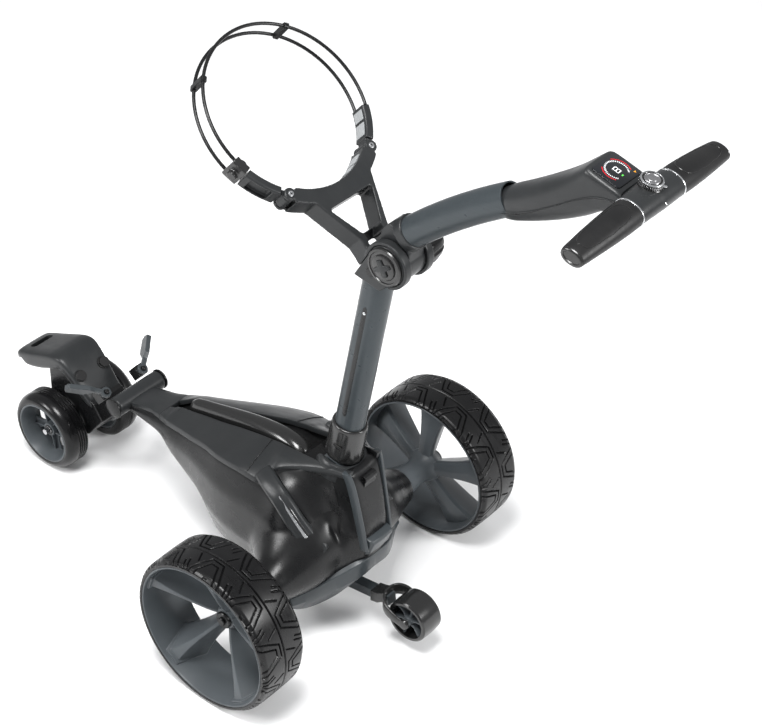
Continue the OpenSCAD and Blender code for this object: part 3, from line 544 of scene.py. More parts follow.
@dataclass(frozen=True)
class Finish:
    """One surface finish; material() gives the shader for it."""

    name: str
    color: Point3
    roughness: float
    slot: str
    metallic: float = 0.0
    # How much edges are lightened: rubbed wear and a painted highlight together.
    worn: float = 1.8
    grain: float = 900.0
    depth: float = 0.04
    gloss_change: float = 0.10
    edge: float = 0.0012
    edge_wear_and_highlight_amount: float = 0.5
    dust: float = 0.010
    coat: float = 0.0
    coat_roughness: float = 0.15
    specular: float = 0.27
    brushed: bool = False
    glow: float = 0.0

    def material(self) -> bpy.types.Material:
        """The finish's material, made on first use."""
        found = bpy.data.materials.get(self.name)
        if found is not None:
            return found
        material = bpy.data.materials.new(self.name)
        material.use_nodes = True
        nodes = Nodes(material.node_tree)
        out = nodes.add("ShaderNodeOutputMaterial")
        shader = nodes.add("ShaderNodeBsdfPrincipled")
        nodes.join(shader.outputs[0], out.inputs[0])
        place = nodes.add("ShaderNodeTexCoord").outputs["Object"]
        kind = Effect.BRUSH if self.brushed else Effect.GRAIN
        texture = self._effect(nodes, kind, place, Scale=self.grain)
        edge = self._effect(nodes, Effect.EDGE, place, Radius=self.edge)
        dust = self._effect(nodes, Effect.DUST, place, Amount=self.dust)
        marks = self._effect(nodes, Effect.SCUFF, place)
        # Edges are lightened by the edge mask: partly rubbed wear, partly a painted highlight along rounded
        # edges.
        pale = tuple(min(1.0, c * self.worn + EDGE_WEAR_AND_HIGHLIGHT_LIFT) for c in self.color)
        deep = tuple(c * DEEP_TONE for c in self.color)
        base = nodes.blend(texture.outputs["Mask"], deep, self.color)
        base = nodes.blend(nodes.maths("MULTIPLY", edge.outputs["Mask"], self.edge_wear_and_highlight_amount), base, pale)
        base = nodes.blend(dust.outputs["Mask"], base, DUST_COLOR)
        nodes.join(base, shader.inputs["Base Color"])
        change = nodes.maths("SUBTRACT", marks.outputs["Mask"], 0.5)
        change = nodes.maths("MULTIPLY", change, self.gloss_change)
        rough = nodes.maths("ADD", change, self.roughness)
        rough = nodes.maths("ADD", rough, dust.outputs["Mask"], clamp=True)
        nodes.join(rough, shader.inputs["Roughness"])
        bump = nodes.add("ShaderNodeBump", Strength=self.depth, Distance=BUMP_DISTANCE)
        nodes.join(texture.outputs["Height"], bump.inputs["Height"])
        nodes.join(edge.outputs["Normal"], bump.inputs["Normal"])
        nodes.join(bump.outputs[0], shader.inputs["Normal"])
        shader.inputs["Metallic"].default_value = self.metallic
        shader.inputs["Coat Weight"].default_value = self.coat
        shader.inputs["Coat Roughness"].default_value = self.coat_roughness
        shader.inputs["Specular IOR Level"].default_value = self.specular
        if self.glow > 0:
            shader.inputs["Emission Color"].default_value = (*self.color, 1)
            shader.inputs["Emission Strength"].default_value = self.glow
        return material

    def _effect(self, nodes: Nodes, effect: Effect, place: bpy.types.NodeSocket,
                **values: float) -> bpy.types.Node:
        """Place a shared effect in the material, with its own values."""
        node = nodes.add("ShaderNodeGroup")
        node.node_tree = Effects.get(effect)
        nodes.join(place, node.inputs["Vector"])
        for key, value in values.items():
            node.inputs[key].default_value = value
        return node

    def on(self, obj: bpy.types.Object) -> bpy.types.Object:
        """Dress a piece in this finish."""
        obj.data.materials.clear()
        obj.data.materials.append(self.material())
        return obj


def lit(name: str, color: tuple[float, float, float], glow: float) -> Finish:
    """Finish of a mark that glows on the screen."""
    return Finish(name, color, 0.3, "screen", depth=0.0, dust=0.0, edge_wear_and_highlight_amount=0.0, glow=glow)


GRAPHITE = Finish("graphite_plastic", (0.0165, 0.0178, 0.0188), 0.34, "graphite", depth=0.05)
NEAR_BLACK = Finish("black_plastic", (0.0050, 0.0052, 0.0056), 0.30, "black_trim", depth=0.05)
SLATE = Finish("slate_paint", (0.032, 0.038, 0.042), 0.37, "slate", depth=0.02, coat=0.1)
RIM = Finish("rim_slate", (0.070, 0.079, 0.086), 0.38, "rim_plastic", depth=0.03)
TUBE = Finish("anodised_tube", (0.038, 0.046, 0.051), 0.32, "aluminium", metallic=0.25, depth=0.03,
              grain=700.0, brushed=True)
TYRE = Finish("tread_rubber", (0.0046, 0.0046, 0.0050), 0.30, "tyre", depth=0.05, edge=0.0005, dust=0.006,
              edge_wear_and_highlight_amount=0.6)
FRONT_TYRE = Finish("front_tyre_rubber", (0.0048, 0.0048, 0.0052), 0.24, "tyre", depth=0.02, edge=0.0006,
                    dust=0.004)
RUBBER = Finish("grip_rubber", (0.0060, 0.0060, 0.0063), 0.46, "rubber", depth=0.12, grain=1400.0)
GLOSS = Finish("gloss_black", (0.004, 0.004, 0.0044), 0.16, "gloss_black", depth=0.01, dust=0.004, coat=0.5)
STEEL = Finish("bright_steel", (0.48, 0.48, 0.49), 0.26, "steel", metallic=1.0, worn=1.1, dust=0.02,
               brushed=True)
GLASS = Finish("screen_glass", (0.006, 0.007, 0.009), 0.08, "screen", depth=0.0, dust=0.0, coat=0.6,
               gloss_change=0.03, edge_wear_and_highlight_amount=0.0)
CRIMSON = lit("screen_red", (0.55, 0.01, 0.02), 0.12)
WHITE = lit("screen_white", (0.85, 0.86, 0.88), 0.15)
GREEN = lit("screen_green", (0.10, 0.55, 0.08), 0.4)
AMBER = lit("screen_amber", (0.75, 0.30, 0.02), 0.4)
# Pale grey of the ribs inside the right strap arm and the bag bracket: a painted highlight where they reflect
# the light.
PAINTED_RIB_HIGHLIGHT = Finish("rib_painted_highlight", (0.27, 0.28, 0.285), 0.34, "silver_trim", depth=0.02, edge=0.0004)
SILVER = Finish("satin_silver", (0.60, 0.61, 0.62), 0.24, "silver_trim", metallic=0.95, worn=1.1, dust=0.0,
                edge=0.0002, depth=0.0)


CAD_FINISH = {
    GRAPHITE: ("neck_frame", "top_cover", "rear_casing", "axle_housing_left", "axle_housing_right",
               "bag_bracket", "handle_elbow", "console_cover", "bar_core", "strap_arm_left",
               "strap_arm_right", "front_bracket", "front_fork", "front_pivot_tube"),
    SLATE: ("rear_band", "anti_tip_arm", "gearbox_left", "gearbox_right", "mast_head", "mast_foot",
            "bag_lever_left", "bag_lever_right"),
    TUBE: ("mast_tube", "handle_tube"),
    RIM: ("rear_rim_left", "rear_rim_right", "front_rim_left", "front_rim_right"),
    TYRE: ("rear_tyre_left", "rear_tyre_right", "front_tyre_left", "front_tyre_right"),
    STEEL: ("mast_cradle", "motor_left", "motor_right", "anti_tip_axle", "front_axle", "rear_axle_left",
            "rear_axle_right", "handle_pivot_pin", "controller_box"),
    NEAR_BLACK: ("belly_pan", "battery_pack", "mast_collar", "mast_latch_lever", "strap_buckle",
                 "strap_cords", "lever_blocks", "hub_sleeve", "console_base", "valley_duct", "dial_button"),
    GLOSS: ("anti_tip_fork", "anti_tip_wheel", "screen_glass"),
    RUBBER: ("grip_left", "grip_right", "bag_pads"),
    SILVER: ("dial_ring",),
}


def softened(node: str, name: str, voxel: float, rounds: int) -> bpy.types.Object:
    """Copy of one CAD node's shape with its edges blended, as moulding leaves them.

    Args:
        node: the CAD node.
        name: the new piece's name.
        voxel: size of the new surface's cells, in metres.
        rounds: how many times the surface is relaxed.

    Returns:
        The new piece, in the row's frame.
    """
    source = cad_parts[node]
    mesh = source.data.copy()
    mesh.name = name
    mesh.transform(source.matrix_world)
    obj = bpy.data.objects.new(name, mesh)
    bpy.context.scene.collection.objects.link(obj)
    Bench.finish(obj, "REMESH", mode="VOXEL", voxel_size=voxel)
    Bench.finish(obj, "SMOOTH", factor=0.5, iterations=rounds)
    Bench.smooth(obj, 60)
    return obj


def dress_cad() -> None:
    """Give every CAD node its finish."""
    for finish, names in CAD_FINISH.items():
        for name in names:
            finish.on(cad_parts[name])


def keep(obj: bpy.types.Object, body: str, finish: Finish, *nodes: str) -> bpy.types.Object:
    """Dress a piece, let it ride on a body and, where nodes are named, stand for them."""
    finish.on(obj)
    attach(obj, body)
    if nodes:
        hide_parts(*nodes)
    LOG.info("%s rides on %s, %d faces", obj.name, body, len(obj.data.polygons))
    return obj


@dataclass
class SoftCopy:
    """A moulded piece made from its CAD node, and the body that carries it."""

    node: str
    name: str
    body: str
    finish: Finish
    voxel: float
    rounds: int

    def build(self) -> None:
        """Make the piece in place of its node."""
        keep(softened(self.node, self.name, self.voxel, self.rounds), self.body, self.finish, self.node)


def rotation(degrees: float, axis: str) -> Matrix:
    """Matrix that turns about one axis."""
    return Matrix.Rotation(math.radians(degrees), 4, axis)


SIDES: tuple[tuple[int, str], ...] = ((1, "left"), (-1, "right"))


# ---------------------------------------------------------------- wheels


@dataclass
class RearWheel:
    """Wide rear wheel: treaded tyre on a deep rim with five blade spokes."""

    side: int
    radius: float = 0.1305
    inner: float = 0.213
    width: float = 0.087
    barrel: float = 0.1165
    seat: float = 0.1200
    groove: float = 0.0030
    line: float = 0.00095
    steps: int = 940
    first_spoke: float = 20.0
    spokes: int = 5
    period: float = 36.0
    fade: float = 1.6
    notches: int = 30
    shoulder: float = 0.90
    chevron: list[list[Point2]] = field(default_factory=lambda: [
        [(0, 0.97), (4.8, 0.55), (9.2, 0.15), (18.4, 0.15), (22.8, 0.55), (26.4, 0.97)],
        [(4.6, 0.97), (8.4, 0.62), (11.2, 0.33), (16.6, 0.33), (19.0, 0.62), (21.8, 0.97)],
        [(28.0, 0.93), (31.6, 0.52)],
        [(30.8, 0.97), (34.2, 0.60)],
        [(25.4, 0.48), (29.2, 0.10)],
    ])

    @property
    def name(self) -> str:
        """Which side this wheel is on."""
        return "left" if self.side > 0 else "right"

    def place(self) -> Matrix:
        """Wheel's matrix: local Z runs outwards from the tyre's inner edge."""
        return axis_y(Vector((AXLE_X, self.side * self.inner, self.radius)), self.side)

    def section(self) -> list[Point2]:
        """Tyre's section (radius, distance from the inner edge), closely spaced over the tread."""
        r, w = self.radius, self.width
        across = 84
        points = [(self.seat, 0.0012), (self.seat + 0.0015, 0.0), (self.seat + 0.0045, 0.0)]
        for i in range(across + 1):
            v = i / across
            edge = min(v, 1 - v) * w
            drop = 0.0046 * max(0.0, 1 - edge / 0.0075) ** 2.0
            crown = 0.0012 * (2 * abs(v - 0.5)) ** 2
            points.append((r - drop - crown, 0.0018 + v * (w - 0.0036)))
        points += [(self.seat + 0.0045, w), (self.seat + 0.0015, w), (self.seat, w - 0.0012)]
        return points

    def carve(self, obj: bpy.types.Object) -> None:
        """Sink the tread's grooves and the shoulder notches into the tyre, in its local frame."""
        count = len(obj.data.vertices)
        co = np.empty(count * 3)
        obj.data.vertices.foreach_get("co", co)
        co = co.reshape(-1, 3)
        radius = np.hypot(co[:, 0], co[:, 1])
        angle = np.degrees(np.arctan2(co[:, 1], co[:, 0])) % 360
        v = (co[:, 2] / self.width - 0.5) * 2
        arc = math.radians(1) * self.radius
        half = self.width / 2
        depth = np.zeros(count)
        for sign, shift in ((1, 0.0), (-1, self.period / 2)):
            local = (angle - shift) % self.period
            for line in self.chevron:
                for (a0, v0), (a1, v1) in zip(line, line[1:]):
                    for wrap in (-self.period, 0.0, self.period):
                        p = np.stack([(local + wrap) * arc, sign * v * half], 1)
                        start = np.array([a0 * arc, v0 * half])
                        end = np.array([a1 * arc, v1 * half])
                        run = end - start
                        t = np.clip(((p - start) @ run) / (run @ run), 0, 1)
                        gap = np.linalg.norm(p - start - t[:, None] * run, axis=1)
                        cut = np.clip(self.fade - gap / self.line, 0, 1)
                        depth = np.maximum(depth, cut * (sign * v > 0.04))
        ring = np.clip(self.fade - np.abs(v) * half / self.line, 0, 1)
        depth = np.maximum(depth, ring)
        notch = (np.cos(np.radians(angle * self.notches)) > 0.72) & (np.abs(v) > self.shoulder)
        depth = np.maximum(depth, 0.8 * notch)
        tread = radius > self.seat + 0.0046
        new = radius - self.groove * depth * tread
        co[:, 0] *= new / radius
        co[:, 1] *= new / radius
        obj.data.vertices.foreach_set("co", co.ravel())

    def tyre(self) -> None:
        """The treaded tyre."""
        obj = Bench.turned("rear_tread_" + self.name, self.section(), Matrix.Identity(4), self.steps)
        self.carve(obj)
        Bench.place(obj, self.place())
        Bench.smooth(obj, 28)
        keep(obj, "rear_wheel_" + self.name, TYRE, "rear_tyre_" + self.name)

    def spoke(self) -> bpy.types.Object:
        """One twisted blade: deep along the axle, with a narrow outer face that widens at the barrel."""
        root = 0.015
        rows = []
        for t in (0.0, 0.15, 0.3, 0.45, 0.6, 0.72, 0.84, 0.93, 1.0):
            r = root + (self.barrel - root) * t
            face = 0.0022 + 0.0088 * t ** 3.0
            outer = 0.033 + 0.044 * t ** 0.85
            wide = 0.0125 + 0.002 * t + 0.0165 * t ** 2.6
            inner = 0.004 + 0.020 * t ** 1.2
            rows.append([
                (r, -face, outer), (r, face, outer), (r, wide, inner + 0.007), (r, wide * 0.94, inner),
                (r, 0.0, inner - 0.003), (r, -wide * 0.94, inner), (r, -wide, inner + 0.007)])
        blade = Bench.skin("blade", rows)
        Bench.bevel(blade, 0.0008, 2, 18)
        foot = [(0.0805, -0.0140), (0.0805, 0.0140), (0.050, 0.0240), (0.024, 0.0330), (0.024, -0.0330),
                (0.050, -0.0240)]
        pad = Bench.skin("foot", [[(r, t * s, h) for h, t in foot] for r, s in
                                  ((self.barrel - 0.0042, 0.94), (self.barrel + 0.0003, 1.0))])
        Bench.bevel(pad, 0.0009, 2, 25)
        return Bench.join([blade, pad], "blade")

    def rim(self) -> None:
        """Barrel with rolled lips, hub block and spokes, as one piece."""
        b, w = self.barrel, self.width
        wall = [(b + 0.0036, 0.0012), (b + 0.0024, 0.0004), (b + 0.0008, 0.0006), (b, 0.003),
                (b - 0.0016, 0.02), (b - 0.0016, 0.05), (b, w - 0.004), (b + 0.0010, w - 0.0008),
                (b + 0.0024, w - 0.0002), (b + 0.0036, w - 0.0010)]
        pieces = [Bench.turned("barrel", wall, Matrix.Identity(4), 128)]
        hub = [(0.0062, -0.060), (0.0240, -0.060), (0.0258, -0.057), (0.0225, -0.034), (0.0212, -0.014),
               (0.0240, 0.000), (0.0300, 0.008), (0.0290, 0.014), (0.0215, 0.024), (0.017, 0.033),
               (0.0105, 0.0345), (0.0062, 0.0345)]
        pieces.append(Bench.turned("hub", hub, Matrix.Identity(4), 48))
        blade = self.spoke()
        for i in range(self.spokes):
            turn = rotation(-self.first_spoke - i * 360 / self.spokes, "Z")
            pieces.append(Bench.twin(blade, f"blade_{i}", turn))
        bpy.data.objects.remove(blade)
        obj = Bench.join(pieces, "rear_wheel_rim_" + self.name)
        Bench.place(obj, self.place())
        Bench.smooth(obj, 32)
        keep(obj, "rear_wheel_" + self.name, RIM, "rear_rim_" + self.name)

    def bolt(self) -> None:
        """Dark hub block with its pin, in the dish."""
        collar = Bench.turned("wheel_release_" + self.name, [
            (0.0, 0.0355), (0.0, 0.043), (0.0055, 0.043), (0.0066, 0.0418), (0.0066, 0.039), (0.0125, 0.039),
            (0.0138, 0.0376), (0.0138, 0.0345), (0.007, 0.0345), (0.007, 0.0355)], self.place(), 40)
        keep(collar, "rear_wheel_" + self.name, NEAR_BLACK)

    def build(self) -> None:
        """Make the whole wheel."""
        self.tyre()
        self.rim()
        self.bolt()


@dataclass
class FrontWheel:
    """Smooth front wheel: ribbed rubber tyre on a dished rim with thin spokes."""

    side: int
    radius: float = 0.0705
    inner: float = 0.0385
    width: float = 0.044
    barrel: float = 0.052
    spokes: int = 5
    first_spoke: float = 18.0

    @property
    def name(self) -> str:
        """Which side this wheel is on."""
        return "left" if self.side > 0 else "right"

    def place(self) -> Matrix:
        """Wheel's matrix: local Z runs outwards from the tyre's inner edge."""
        hub = at(583, 0, 70.5)
        return axis_y(Vector((hub.x, self.side * self.inner, hub.z)), self.side)

    def tyre(self) -> None:
        """Tyre with three grooves on its inner half and round shoulders."""
        r, w = self.radius, self.width
        profile = [(0.0551, 0.0), (r - 0.0075, 0.0), (r - 0.004, 0.001), (r - 0.0018, 0.003)]
        for start in (0.0055, 0.0105, 0.0155, 0.0205):
            profile += [(r - 0.0006, start - 0.0012), (r - 0.0004, start), (r - 0.0022, start + 0.0008),
                        (r - 0.0022, start + 0.0018)]
        profile += [(r - 0.0003, 0.0232), (r, 0.027), (r - 0.0006, 0.032), (r - 0.0025, 0.037),
                    (r - 0.006, 0.0415), (r - 0.0105, w), (r - 0.0135, w), (0.0551, w - 0.001)]
        obj = Bench.turned("front_tread_" + self.name, profile, self.place(), 160)
        keep(obj, "front_wheel_" + self.name, FRONT_TYRE, "front_tyre_" + self.name)

    def rim(self) -> None:
        """Rim: wide lip, sloping barrel, web with five ribs, hub boss."""
        b, w = self.barrel, self.width
        wall = [(b + 0.003, 0.0015), (b, 0.0015), (b - 0.004, 0.014), (b - 0.004, 0.017),
                (b - 0.001, 0.030), (b, w - 0.0015), (b + 0.0008, w - 0.0002), (b + 0.003, w - 0.0006)]
        pieces = [Bench.turned("lip", wall, Matrix.Identity(4), 96)]
        pieces.append(Bench.turned("boss", [
            (0.0051, 0.003), (0.0105, 0.003), (0.0125, 0.006), (0.0125, 0.026), (0.0115, 0.0285),
            (0.0085, 0.0285), (0.0085, 0.0262), (0.0051, 0.0262)], Matrix.Identity(4), 48))
        for i in range(self.spokes):
            spin = rotation(360 / self.spokes * i + self.first_spoke, "Z")
            web = mm([(9, -9), (30, -6.5), (50, -13), (50.5, 13), (30, 6.5), (9, 9)])
            pieces.append(Bench.plate("web", web, 0.0035, spin @ Matrix.Translation((0, 0, 0.011)), 0.0006))
            rib = mm([(10, 11), (51, 11), (51, 19), (30, 21), (12, 25)])
            upright = spin @ Matrix.Translation((0, 0.0011, 0)) @ rotation(90, "X")
            pieces.append(Bench.plate("rib", rib, 0.0022, upright, 0.0005))
        obj = Bench.join(pieces, "front_wheel_rim_" + self.name)
        Bench.place(obj, self.place())
        Bench.smooth(obj, 32)
        keep(obj, "front_wheel_" + self.name, RIM, "front_rim_" + self.name)

    def cap(self) -> None:
        """Bright axle end inside a black ring."""
        ring = Bench.turned("hub_ring_" + self.name, [
            (0.0088, 0.0262), (0.0088, 0.0292), (0.0082, 0.0298), (0.0068, 0.0298), (0.0062, 0.0290),
            (0.0062, 0.0262)], self.place(), 40)
        keep(ring, "front_wheel_" + self.name, NEAR_BLACK)
        end = Bench.turned("axle_nut_" + self.name, [
            (0.0, 0.0272), (0.0, 0.0302), (0.0022, 0.0302), (0.0030, 0.0294), (0.0056, 0.0294),
            (0.0060, 0.0288), (0.0060, 0.0272)], self.place(), 24)
        keep(end, "front_wheel_" + self.name, STEEL)

    def build(self) -> None:
        """Make the whole wheel."""
        self.tyre()
        self.rim()
        self.cap()


# ---------------------------------------------------------------- chassis


# Half sections of the body in the axle's frame, in millimetres: (across, up) from the top to the
# bottom, keyed by the place along the trolley.
HULL_SECTIONS: dict[int, list[Point2]] = {
    425: [(0, 190), (12, 190), (20, 190), (25, 191), (29, 192), (33, 184), (31, 176), (24, 172), (0, 172)],
    400: [(0, 193), (11, 193), (18, 194), (23, 195), (28, 195), (34, 185), (33, 176), (26, 171), (0, 171)],
    373: [(0, 196), (11, 196), (16, 198), (22, 200), (27, 200), (37, 189), (36, 176), (28, 170), (0, 170)],
    335: [(0, 198), (12, 199), (20, 204), (28, 208), (36, 207), (46, 192), (44, 178), (33, 170), (0, 170)],
    307: [(0, 212), (14, 213), (24, 218), (34, 217), (44, 214), (56, 194), (53, 168), (39, 147), (0, 146)],
    263: [(0, 228), (15, 229), (24, 234), (40, 229), (54, 225), (67, 199), (63, 155), (45, 122), (0, 121)],
    226: [(0, 238), (17, 239), (28, 244), (46, 239), (63, 234), (78, 204), (75, 150), (54, 106), (0, 103)],
    198: [(0, 246), (19, 247), (32, 252), (52, 246), (71, 240), (87, 204), (85, 140), (64, 76), (0, 56)],
    164: [(0, 254), (21, 255), (36, 260), (58, 253), (80, 246), (97, 204), (95, 135), (72, 68), (0, 56)],
    126: [(0, 264), (24, 266), (42, 270), (64, 261), (85, 252), (103, 205), (102, 135), (78, 66), (0, 57)],
    90: [(0, 272), (27, 274), (44, 277), (66, 266), (87, 254), (105, 208), (104, 135), (80, 62), (0, 54)],
    60: [(0, 268), (54, 270), (68, 264), (80, 257), (90, 248), (106, 205), (106, 135), (82, 60), (0, 52)],
    30: [(0, 286), (46, 283), (60, 264), (80, 252), (97, 236), (109, 195), (108, 130), (84, 58), (0, 50)],
    0: [(0, 292), (41, 290), (52, 256), (74, 234), (97, 207), (111, 166), (108, 116), (84, 58), (0, 48)],
    -22: [(0, 297), (35, 297), (42, 244), (66, 206), (92, 184), (104, 150), (97, 112), (74, 68), (0, 58)],
    -45: [(0, 302), (34, 303), (36, 236), (44, 196), (70, 170), (82, 144), (76, 114), (56, 88), (0, 82)],
    -60: [(0, 300), (33, 301), (33, 236), (36, 192), (52, 164), (60, 142), (55, 120), (42, 102), (0, 96)],
    -74: [(0, 262), (28, 260), (31, 225), (32, 190), (35, 164), (37, 150), (35, 138), (27, 126), (0, 120)],
    -86: [(0, 214), (16, 213), (24, 203), (26, 188), (26, 172), (25, 164), (22, 156), (16, 148), (0, 144)],
}
# Rings of the axle horn: place across, centre (along, up) and half sizes (along, up).
HORN_RINGS: tuple[tuple[float, float, float, float, float], ...] = (
    (55, 32, 150, 94, 88), (86, 26, 148, 82, 74), (104, 16, 142, 66, 60), (122, 8, 136, 50, 48),
    (138, 3, 132, 39, 39), (152, 0, 130.5, 33, 33), (160, 0, 130.5, 31.5, 31.5),
)
# Rows of a deck strip: place along, then (across, up) of its inner and of its outer edge.
DECK_ROWS: tuple[tuple[float, float, float, float, float], ...] = (
    (341, 10, 212.5, 34.5, 210.5), (326, 13, 221, 39, 214), (314, 14, 228, 43, 217),
    (280, 15.5, 237, 50.5, 225), (245, 17, 246, 59, 233), (210, 20, 255.5, 67, 241.5),
    (175, 22, 266, 77, 248), (145, 24.5, 274.5, 83, 253.5), (118, 27, 282, 86.5, 258),
    (96, 28.3, 286.5, 88, 259), (80, 29, 290, 87, 258.5), (71, 29.5, 290.5, 80, 261),
    (63, 30, 291.5, 63, 271), (45, 31, 294, 54, 279.5), (20, 33, 298, 47, 288.5),
    (0, 34, 301, 42.5, 294.5), (-25, 33, 304.5, 38.5, 301), (-45, 31, 308, 37.5, 306),
    (-61, 27, 311, 37, 309),
)


@dataclass
class Chassis:
    """Body shells: dark flanks flowing to the axles, deck, duct, ribs, tail and lower band."""

    voxel: float = 0.0032

    def hull(self) -> None:
        """Dark body and the two axle horns, blended into one skin."""
        rows = []
        for x, half in sorted(HULL_SECTIONS.items()):
            loop = half + [(-y, z) for y, z in half[-2:0:-1]]
            rows.append([at(x, y, z) for y, z in loop])
        body = Bench.skin("body_hull", flow(rows, 90))
        for side in (1, -1):
            rings = [[at(cx + rx * math.cos(a), side * y, cz + rz * math.sin(a))
                      for a in np.linspace(0, 2 * math.pi, 48, endpoint=False)]
                     for y, cx, cz, rx, rz in HORN_RINGS]
            body = Bench.join([body, Bench.skin("horn", flow(rings, 40))], "body_hull")
        Bench.finish(body, "REMESH", mode="VOXEL", voxel_size=self.voxel)
        Bench.finish(body, "SMOOTH", factor=0.6, iterations=26)
        pocket = mm([(-13, 254), (20, 262), (55, 280), (96, 300), (96, 345), (-13, 345)])
        Bench.cut(body, Bench.plate("mast_pocket", pocket, 0.0632, in_xz(at(0, 0, 0), 0.0316), 0))
        Bench.smooth(body, 40)
        keep(body, "chassis", NEAR_BLACK, "rear_casing", "belly_pan", "top_cover", "axle_housing_left",
             "axle_housing_right", "neck_frame", "rear_band", "valley_duct")

    def deck(self) -> None:
        """Graphite deck: two strips beside the valley and the neck's cap in front of it."""
        for side, name in SIDES:
            rows = []
            for x, yi, zi, yo, zo in DECK_ROWS:
                line = [(yi - 1.2, zi - 9), (yi, zi - 0.6), (yi + 0.7, zi)]
                for t in (0.25, 0.5, 0.75):
                    bulge = 2.2 * math.sin(math.pi * t) * min(1, (yo - yi) / 40)
                    line.append((yi + (yo - yi) * t, zi + (zo - zi) * t + bulge))
                line += [(yo - 0.6, zo + 0.3), (yo + 0.4, zo - 1.2), (yo + 2.2, zo - 9), (yo - 2, zo - 9),
                         (yi + 3, zi - 9)]
                rows.append([at(x, side * y, z) for y, z in line])
            strip = Bench.skin("deck_" + name, flow(rows, 80))
            Bench.bevel(strip, 0.0009, 2, 38)
            Bench.smooth(strip, 34)
            keep(strip, "chassis", GRAPHITE)
            seam = [at(309, side * 13.4, 229.4), at(311, side * 20, 227.6), at(308, side * 30, 224.2),
                    at(305, side * 40, 219.9), at(304, side * 44.6, 217.4)]
            keep(Bench.wire("deck_seam_" + name, seam, 0.0006, 6), "chassis", NEAR_BLACK)
            joint = [at(100, side * y, z)
                     for y, z in ((29, 286.3), (43, 281.0), (58, 275.0), (73, 267.6), (87.6, 259.6))]
            keep(Bench.wire("deck_joint_" + name, joint, 0.0006, 6), "chassis", NEAR_BLACK)
        neck = []
        for x, top, half, edge in ((341, 212.5, 34.5, 210), (352, 210.5, 31.5, 208), (366, 207.5, 28, 205),
                                   (385, 203, 27, 201), (405, 198, 27.5, 196), (424, 193.5, 29, 192)):
            mid = (top + edge) / 2 + 1.0
            line = [(half, edge), (half * 0.6, mid), (half * 0.3, top), (0, top + 0.3), (-half * 0.3, top),
                    (-half * 0.6, mid), (-half, edge), (-half - 2, edge - 8), (0, edge - 8),
                    (half + 2, edge - 8)]
            neck.append([at(x, y, z) for y, z in line])
        cap = Bench.skin("neck_cap", flow(neck, 30))
        Bench.bevel(cap, 0.0012, 2, 38)
        Bench.smooth(cap, 34)
        keep(cap, "chassis", GRAPHITE)

    def duct(self) -> None:
        """Glossy rounded cable duct that climbs the valley to the mast."""
        round_top, skirt = 17, 30
        stations = ((304, 4, 231), (299, 8, 240), (292, 10, 247), (280, 11, 252), (245, 11.8, 261),
                    (174, 14.5, 278.5), (120, 17.5, 286), (90, 18.5, 286), (66, 19, 280), (52, 19, 268),
                    (46, 18, 254))
        rows = []
        for x, half, top in stations:
            crown = [at(x, half * math.sin(a), top - round_top + round_top * math.cos(a))
                     for a in np.linspace(-math.pi / 2, math.pi / 2, 17)]
            rows.append(crown + [at(x, half, top - skirt), at(x, -half, top - skirt)])
        duct = Bench.skin("valley_cable_duct", flow(rows, 60))
        Bench.smooth(duct, 50)
        keep(duct, "chassis", GLOSS)

    def rib(self) -> None:
        """Raised strips down the rear quarters, each with a bright slit."""
        pairs = [((84, 257, 86), (74, 270, 62)), ((60, 251, 95), (50, 268, 73)),
                 ((33, 239, 101), (26, 261, 81)), ((10, 216, 102), (4, 243, 82)),
                 ((-10, 191, 100), (-14, 221, 79)), ((-25, 171, 95), (-31, 201, 74)),
                 ((-36, 165, 89), (-45, 190, 70)), ((-42, 167, 84), (-50, 183, 70))]
        last = len(pairs) - 1
        height, slit_half, blade_width = 0.0055, 0.0022, 0.0034
        grow = {2: 0.4, 3: 1.0, 4: 1.3, 5: 1.5, 6: 0.3}
        for side, name in SIDES:
            lows = [at(x, side * y, z) for (x, z, y), _ in pairs]
            highs = [at(x, side * y, z) for _, (x, z, y) in pairs]
            rows, slit, blade = [], [], []
            for i, (a, b) in enumerate(zip(lows, highs)):
                face = b - a
                out = face.cross(lows[min(i + 1, last)] - lows[max(i - 1, 0)]).normalized() * side
                if out.y * side < 0:
                    out = -out
                rise = out * height
                rows.append([a - rise * 2, a + rise * 0.2, a + face * 0.12 + rise,
                             a + face * 0.5 + rise * 1.35, a + face * 0.88 + rise, b + rise * 0.2,
                             b - rise * 2])
                if i in grow:
                    up = face.normalized()
                    mid = a + face * 0.66 + rise * 1.15
                    cross = up * slit_half
                    slit.append([mid - cross, mid - cross * 0.6 + out * 0.0007,
                                 mid + cross * 0.6 + out * 0.0007, mid + cross, mid - out * 0.002])
                    low_edge = mid - cross * 1.1 - up * blade_width * grow[i]
                    blade.append([mid - cross * 0.9 - out * 0.001, mid - cross * 0.9 + out * 0.0016,
                                  low_edge + out * 0.0016, low_edge - out * 0.001])
            strip = Bench.skin("rear_rib_" + name, flow(rows, 60))
            Bench.bevel(strip, 0.0012, 2, 38)
            Bench.smooth(strip, 36)
            keep(strip, "chassis", GRAPHITE)
            keep(Bench.skin("rib_slit_" + name, flow(slit, 24)), "chassis", GLOSS)
            edge = Bench.skin("rib_blade_" + name, flow(blade, 24))
            Bench.smooth(edge, 30)
            keep(edge, "chassis", SILVER)

